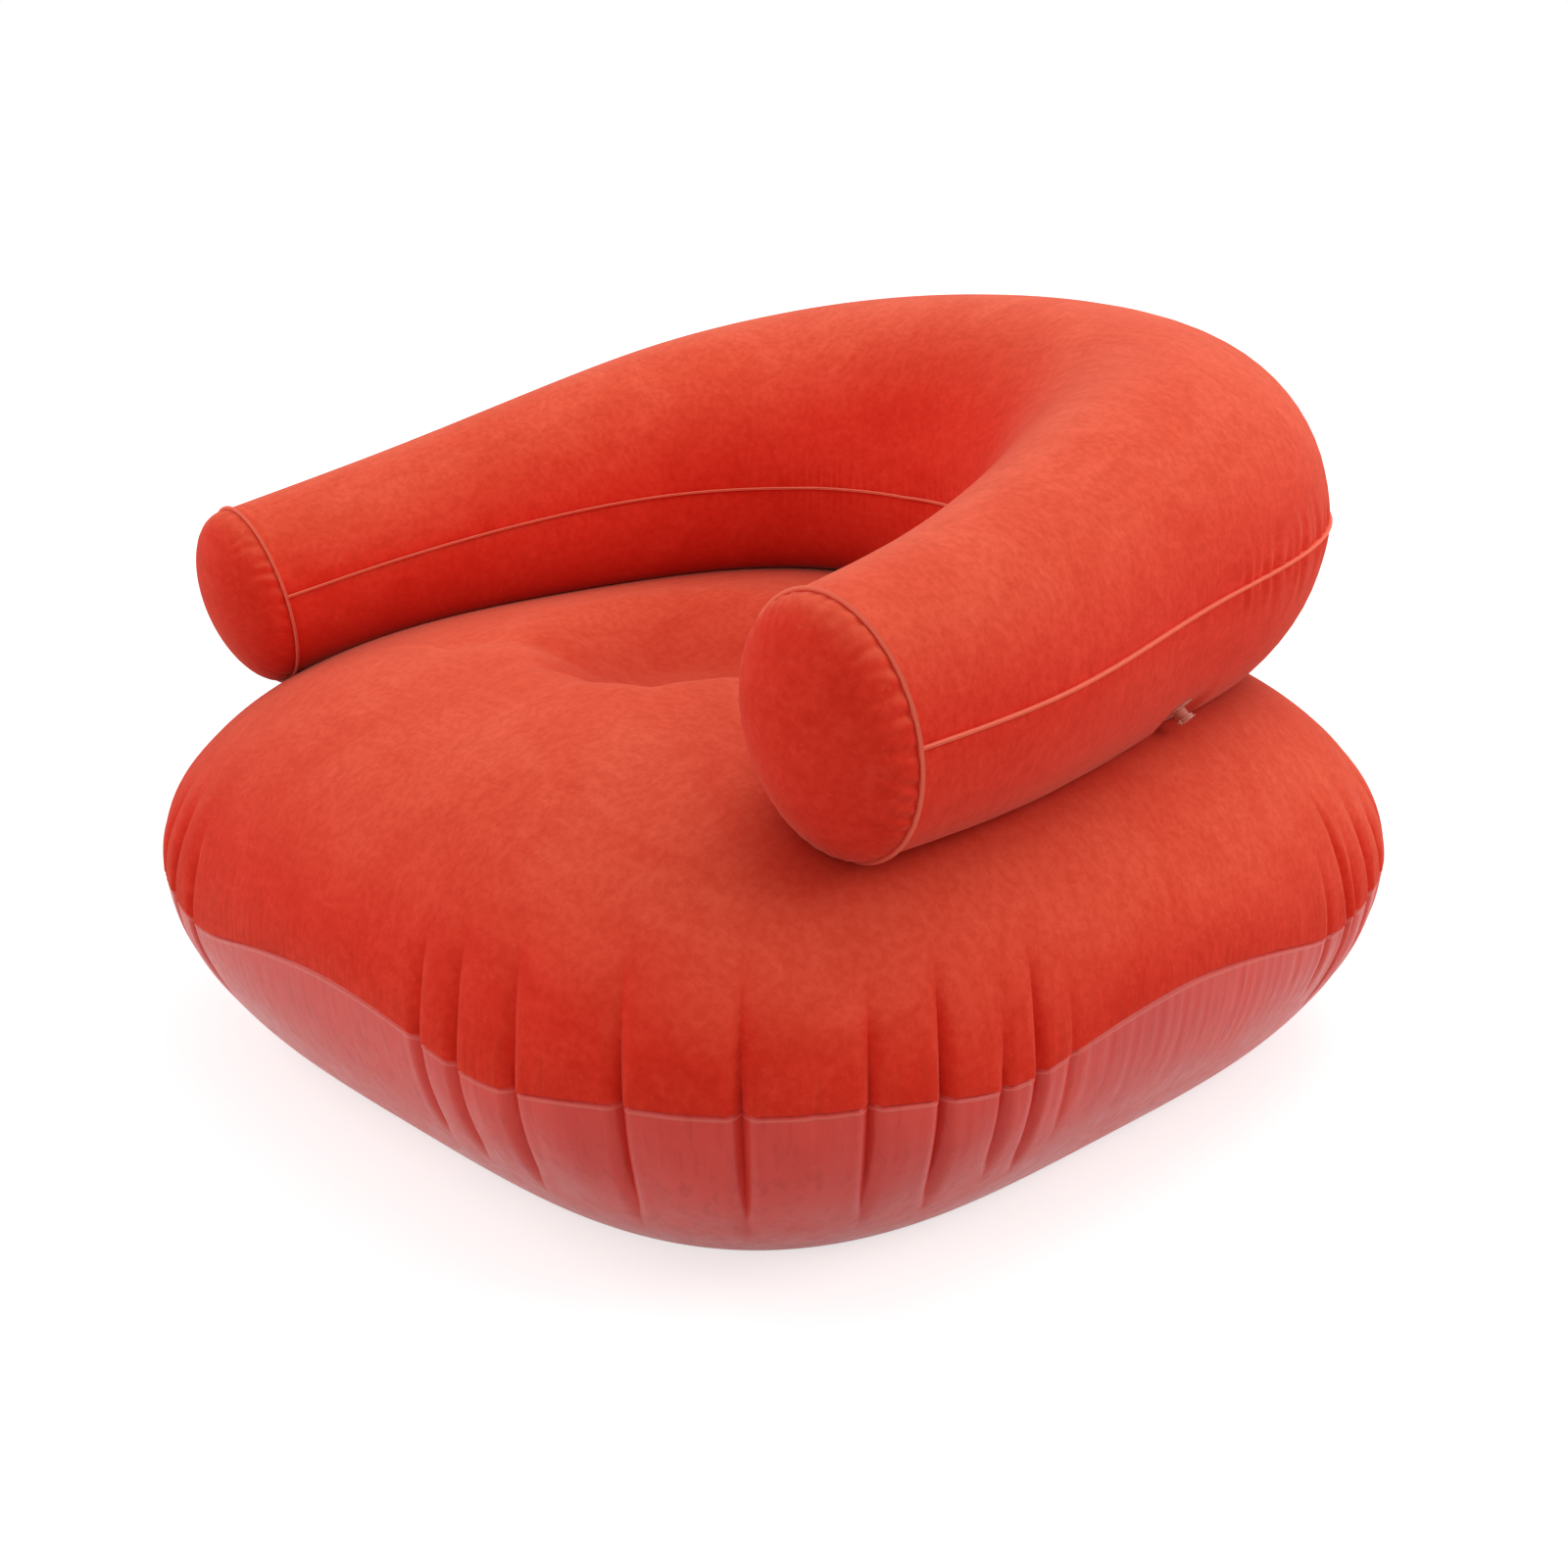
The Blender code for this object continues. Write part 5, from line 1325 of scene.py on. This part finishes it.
# %% Turned and moulded valve pieces
def turned(name, profile, ring, sides=96):
    """Rows of (radius, height), extruded one from another; a ring closes on itself, a solid is capped."""
    deselect()
    radius, height = profile[0]
    bpy.ops.mesh.primitive_circle_add(vertices=sides, radius=radius, location=(0, 0, height))
    made = bpy.context.object
    made.name = name
    bpy.ops.object.mode_set(mode="EDIT")
    bpy.ops.mesh.select_all(action="SELECT")
    for wider, higher in profile[1:]:
        bpy.ops.mesh.extrude_region_move(TRANSFORM_OT_translate={"value": (0, 0, higher - height)})
        grow = wider / radius
        bpy.ops.transform.resize(value=(grow, grow, 1), center_override=(0, 0, higher))
        radius, height = wider, higher
    bpy.ops.mesh.select_all(action="DESELECT")
    bpy.ops.mesh.select_non_manifold()
    if ring:
        bpy.ops.mesh.bridge_edge_loops()
    else:
        bpy.ops.mesh.fill_holes(sides=0)
    bpy.ops.mesh.select_all(action="SELECT")
    bpy.ops.mesh.normals_make_consistent(inside=False)
    bpy.ops.object.mode_set(mode="OBJECT")
    bpy.ops.object.transform_apply(location=True, rotation=True, scale=True)
    return made


def add_bar(obj, low, high):
    """Joins a straight bar, from one corner to the other, onto the piece."""
    low, high = Vector(low), Vector(high)
    deselect()
    bpy.ops.mesh.primitive_cube_add(size=1, location=(low + high) / 2)
    bar = bpy.context.object
    bar.scale = high - low
    bpy.ops.object.transform_apply(location=True, rotation=True, scale=True)
    apply(obj, "BOOLEAN", "join", operation="UNION", object=bar, solver="EXACT")
    bpy.data.objects.remove(bar)


def lay(obj, frame_matrix, edge=0.0002):
    """Rounds the edges a little, then puts the piece in its place on the chair."""
    apply(obj, "BEVEL", "soft_edges", width=edge, segments=2, limit_method="ANGLE", angle_limit=0.6)
    obj.matrix_world = frame_matrix
    select_only(obj)
    bpy.ops.object.transform_apply(location=True, rotation=True, scale=True)


def valve_frame(place, outward, across):
    """A matrix with Z out of the valve and X along its flap's hinge."""
    z = Vector(outward).normalized()
    x = (Vector(across) - z * Vector(across).dot(z)).normalized()
    turn = Matrix((x, z.cross(x), z)).transposed().to_4x4()
    return Matrix.Translation(place) @ turn


for item in ("plug_turn", "plug_flap_fold", "stem_push", "stem_flap_fold"):
    print(item, "axis", [round(c, 3) for c in joint[item]["axis"]])

# %% [markdown]
# ## Screw valve of the pillow
# A disc of clear vinyl is welded round the hole and carries a short neck. The plug screws into it: twelve
# finger lobes round its head, a fine thread on its shank, a dished face. The air nozzle in its middle is
# closed by a small cap on a strap, and a second strap keeps the plug on its neck.

# %% Screw valve of the pillow
NECK_BORE, NECK_OUTER, NECK_TOP = 0.0135, 0.0165, 0.0063
SHANK, NOZZLE, HEAD_LOW, HEAD_TOP, HEAD_RADIUS = 0.0131, 0.0045, 0.0040, 0.0085, 0.020
THREAD_PITCH, THREAD_DEPTH, LOBES, LOBE_DEPTH = 0.003, 0.0005, 12, 0.0012
CAP_PLACE, CAP_GAP = 0.0115, 0.0003
plug_frame = valve_frame(screw["pos_m"], screw["axis"], joint["plug_flap_fold"]["axis"])
neck_frame = plug_frame @ Matrix.Translation((0, 0, -NECK_TOP))

flange = turned("pillow_valve_flange", [
    (NECK_BORE, -0.012), (NECK_OUTER, -0.012), (NECK_OUTER, 0.0003), (0.0300, 0.0003),
    (0.0300, 0.0012), (0.0296, 0.0015), (0.0288, 0.0015), (0.0285, 0.0012), (0.0225, 0.0012),
    (0.0222, 0.0015), (0.0186, 0.0015), (0.0174, 0.0019), (0.0167, 0.0029), (NECK_OUTER, 0.0040),
    (NECK_OUTER, 0.0058), (0.0160, NECK_TOP), (0.0140, NECK_TOP), (NECK_BORE, 0.0058),
], ring=True)
add_bar(flange, (-0.0025, -0.0297, 0.0009), (0.0025, -0.0257, 0.0037))
lay(flange, neck_frame)
finish_piece(flange, clear_vinyl, "chair_body", "base_valve_flange", smooth_angle=35)

thread_rows = [(SHANK, -0.0140 + 0.0005 * row) for row in range(31)]
plug = turned("screw_plug", [
    (NOZZLE, -0.0150), (0.0122, -0.0150), (0.0128, -0.0146), *thread_rows, (SHANK, 0.0018),
    (0.0157, 0.0018), (0.0157, HEAD_LOW), (0.0192, HEAD_LOW), (0.0197, 0.0042), (HEAD_RADIUS, 0.0048),
    (HEAD_RADIUS, 0.0077), (0.0197, 0.0083), (0.0191, HEAD_TOP), (0.0174, HEAD_TOP), (0.0170, 0.0079),
    (0.0134, 0.0079), (0.0130, HEAD_TOP), (0.0050, HEAD_TOP), (NOZZLE, 0.0080),
], ring=True)
for vert in plug.data.vertices:
    radius, turn = math.hypot(vert.co.x, vert.co.y), math.atan2(vert.co.y, vert.co.x)
    if radius > 0.0190:
        vert.co.xy *= 1 - LOBE_DEPTH / HEAD_RADIUS * (0.5 - 0.5 * math.cos(LOBES * turn)) ** 2
    elif abs(radius - SHANK) < 1e-5 and vert.co.z < 0.0011:
        wave = math.cos(math.tau * (vert.co.z / THREAD_PITCH - turn / math.tau))
        vert.co.xy *= 1 - THREAD_DEPTH / SHANK * (0.5 - 0.5 * wave)
lay(plug, plug_frame)
finish_piece(plug, grey_plastic, "plug", "base_valve_plug", smooth_angle=35)

cap = turned("nozzle_cap", [
    (0.0027, -0.0053), (0.0033, -0.0049), (0.0040, 0.0), (0.0080, 0.0), (0.0085, 0.0004),
    (0.0085, 0.0017), (0.0080, 0.0022), (0.0062, 0.0022), (0.0058, 0.0018), (0.0012, 0.0018),
], ring=False, sides=64)
for vert in cap.data.vertices:
    vert.co.y -= CAP_PLACE
add_bar(cap, (-0.0025, -0.0070, 0.0), (0.0025, 0.0, 0.0011))
add_bar(cap, (-0.0025, -0.0235, 0.0), (0.0025, -0.0180, 0.0011))
for rib in range(3):
    add_bar(cap, (-0.0022, -0.0214 - 0.0007 * rib, 0.0010), (0.0022, -0.0211 - 0.0007 * rib, 0.0013))
lay(cap, plug_frame @ Matrix.Translation((0, CAP_PLACE, HEAD_TOP + CAP_GAP)), edge=0.00012)
finish_piece(cap, clear_vinyl, "cap", "inflation_cap", smooth_angle=35)

# %% [markdown]
# ## Copies of the small straps
# The plug's strap, the push-in stem and its stopper already have their shapes in the CAD model. Each is
# copied, its loose triangles are merged, and its hard edges are rounded as a mould would leave them.

# %% Copies of the small straps
def rounded_copy(node, name, finish, body, edge=0.00025):
    copy = frame["nodes"][node].copy()
    copy.data = copy.data.copy()
    for key in list(copy.keys()):
        del copy[key]
    copy.name = name
    copy.parent = None
    bpy.context.collection.objects.link(copy)
    select_only(copy)
    bpy.ops.object.mode_set(mode="EDIT")
    bpy.ops.mesh.select_all(action="SELECT")
    bpy.ops.mesh.remove_doubles(threshold=1e-6)
    bpy.ops.mesh.dissolve_limited(angle_limit=math.radians(4))
    bpy.ops.object.mode_set(mode="OBJECT")
    apply(copy, "BEVEL", "soft_edges", width=edge, segments=3, limit_method="ANGLE", angle_limit=0.6)
    finish_piece(copy, finish, body, node, smooth_angle=40)


rounded_copy("base_valve_tether", "plug_strap", clear_vinyl, "tether_ring")
rounded_copy("arm_valve_stem", "push_stem", clear_vinyl, "stem")
rounded_copy("arm_valve_stopper", "stem_stopper", clear_vinyl, "stopper")

# %% [markdown]
# ## Flange of the arm's valve
# The arm has a small push-in valve near its back corner. Its thin clear disc is welded to the film: the
# weld is the sunk band between two raised rims. It is round, so it is turned like the screw valve's pieces.

# %% Flange of the arm's valve
arm_frame = valve_frame(arm_seat.centre, arm_seat.axis, joint["stem_flap_fold"]["axis"])
disc = turned("arm_valve_disc", [
    (0.0070, 0.0003), (0.0160, 0.0003), (0.0160, 0.0010), (0.0157, 0.0013), (0.0151, 0.0013),
    (0.0148, 0.0010), (0.0114, 0.0010), (0.0111, 0.0013), (0.0074, 0.0013), (0.0070, 0.0010),
], ring=True, sides=64)
lay(disc, arm_frame, edge=0.00012)
finish_piece(disc, clear_vinyl, "chair_body", "arm_valve_flange", smooth_angle=35)

# %% [markdown]
# ## Finishes of the CAD pieces that stay
# The tie, the weld pads, the gasket and the flaps are plain cut sheet, so their CAD shapes are right as they
# are. Modelling them again would add nothing, and each only takes the finish of its material slot.

# %% Finishes of the carried-over pieces
FINISHES = {
    "smooth_film": film,
    "tie_film": tie_vinyl,
    "clear_vinyl": clear_vinyl,
    "valve_plug": grey_plastic,
    "valve_rubber": black_rubber,
}
slot_of = {part["node"]: part["material_slot"] for part in frame["record"]["subparts"]}
for node, obj in frame["nodes"].items():
    finish = FINISHES.get(slot_of.get(node))
    if finish:
        for material_slot in obj.material_slots:
            material_slot.material = finish
print("CAD nodes", len(frame["nodes"]), "finishes", len(FINISHES))
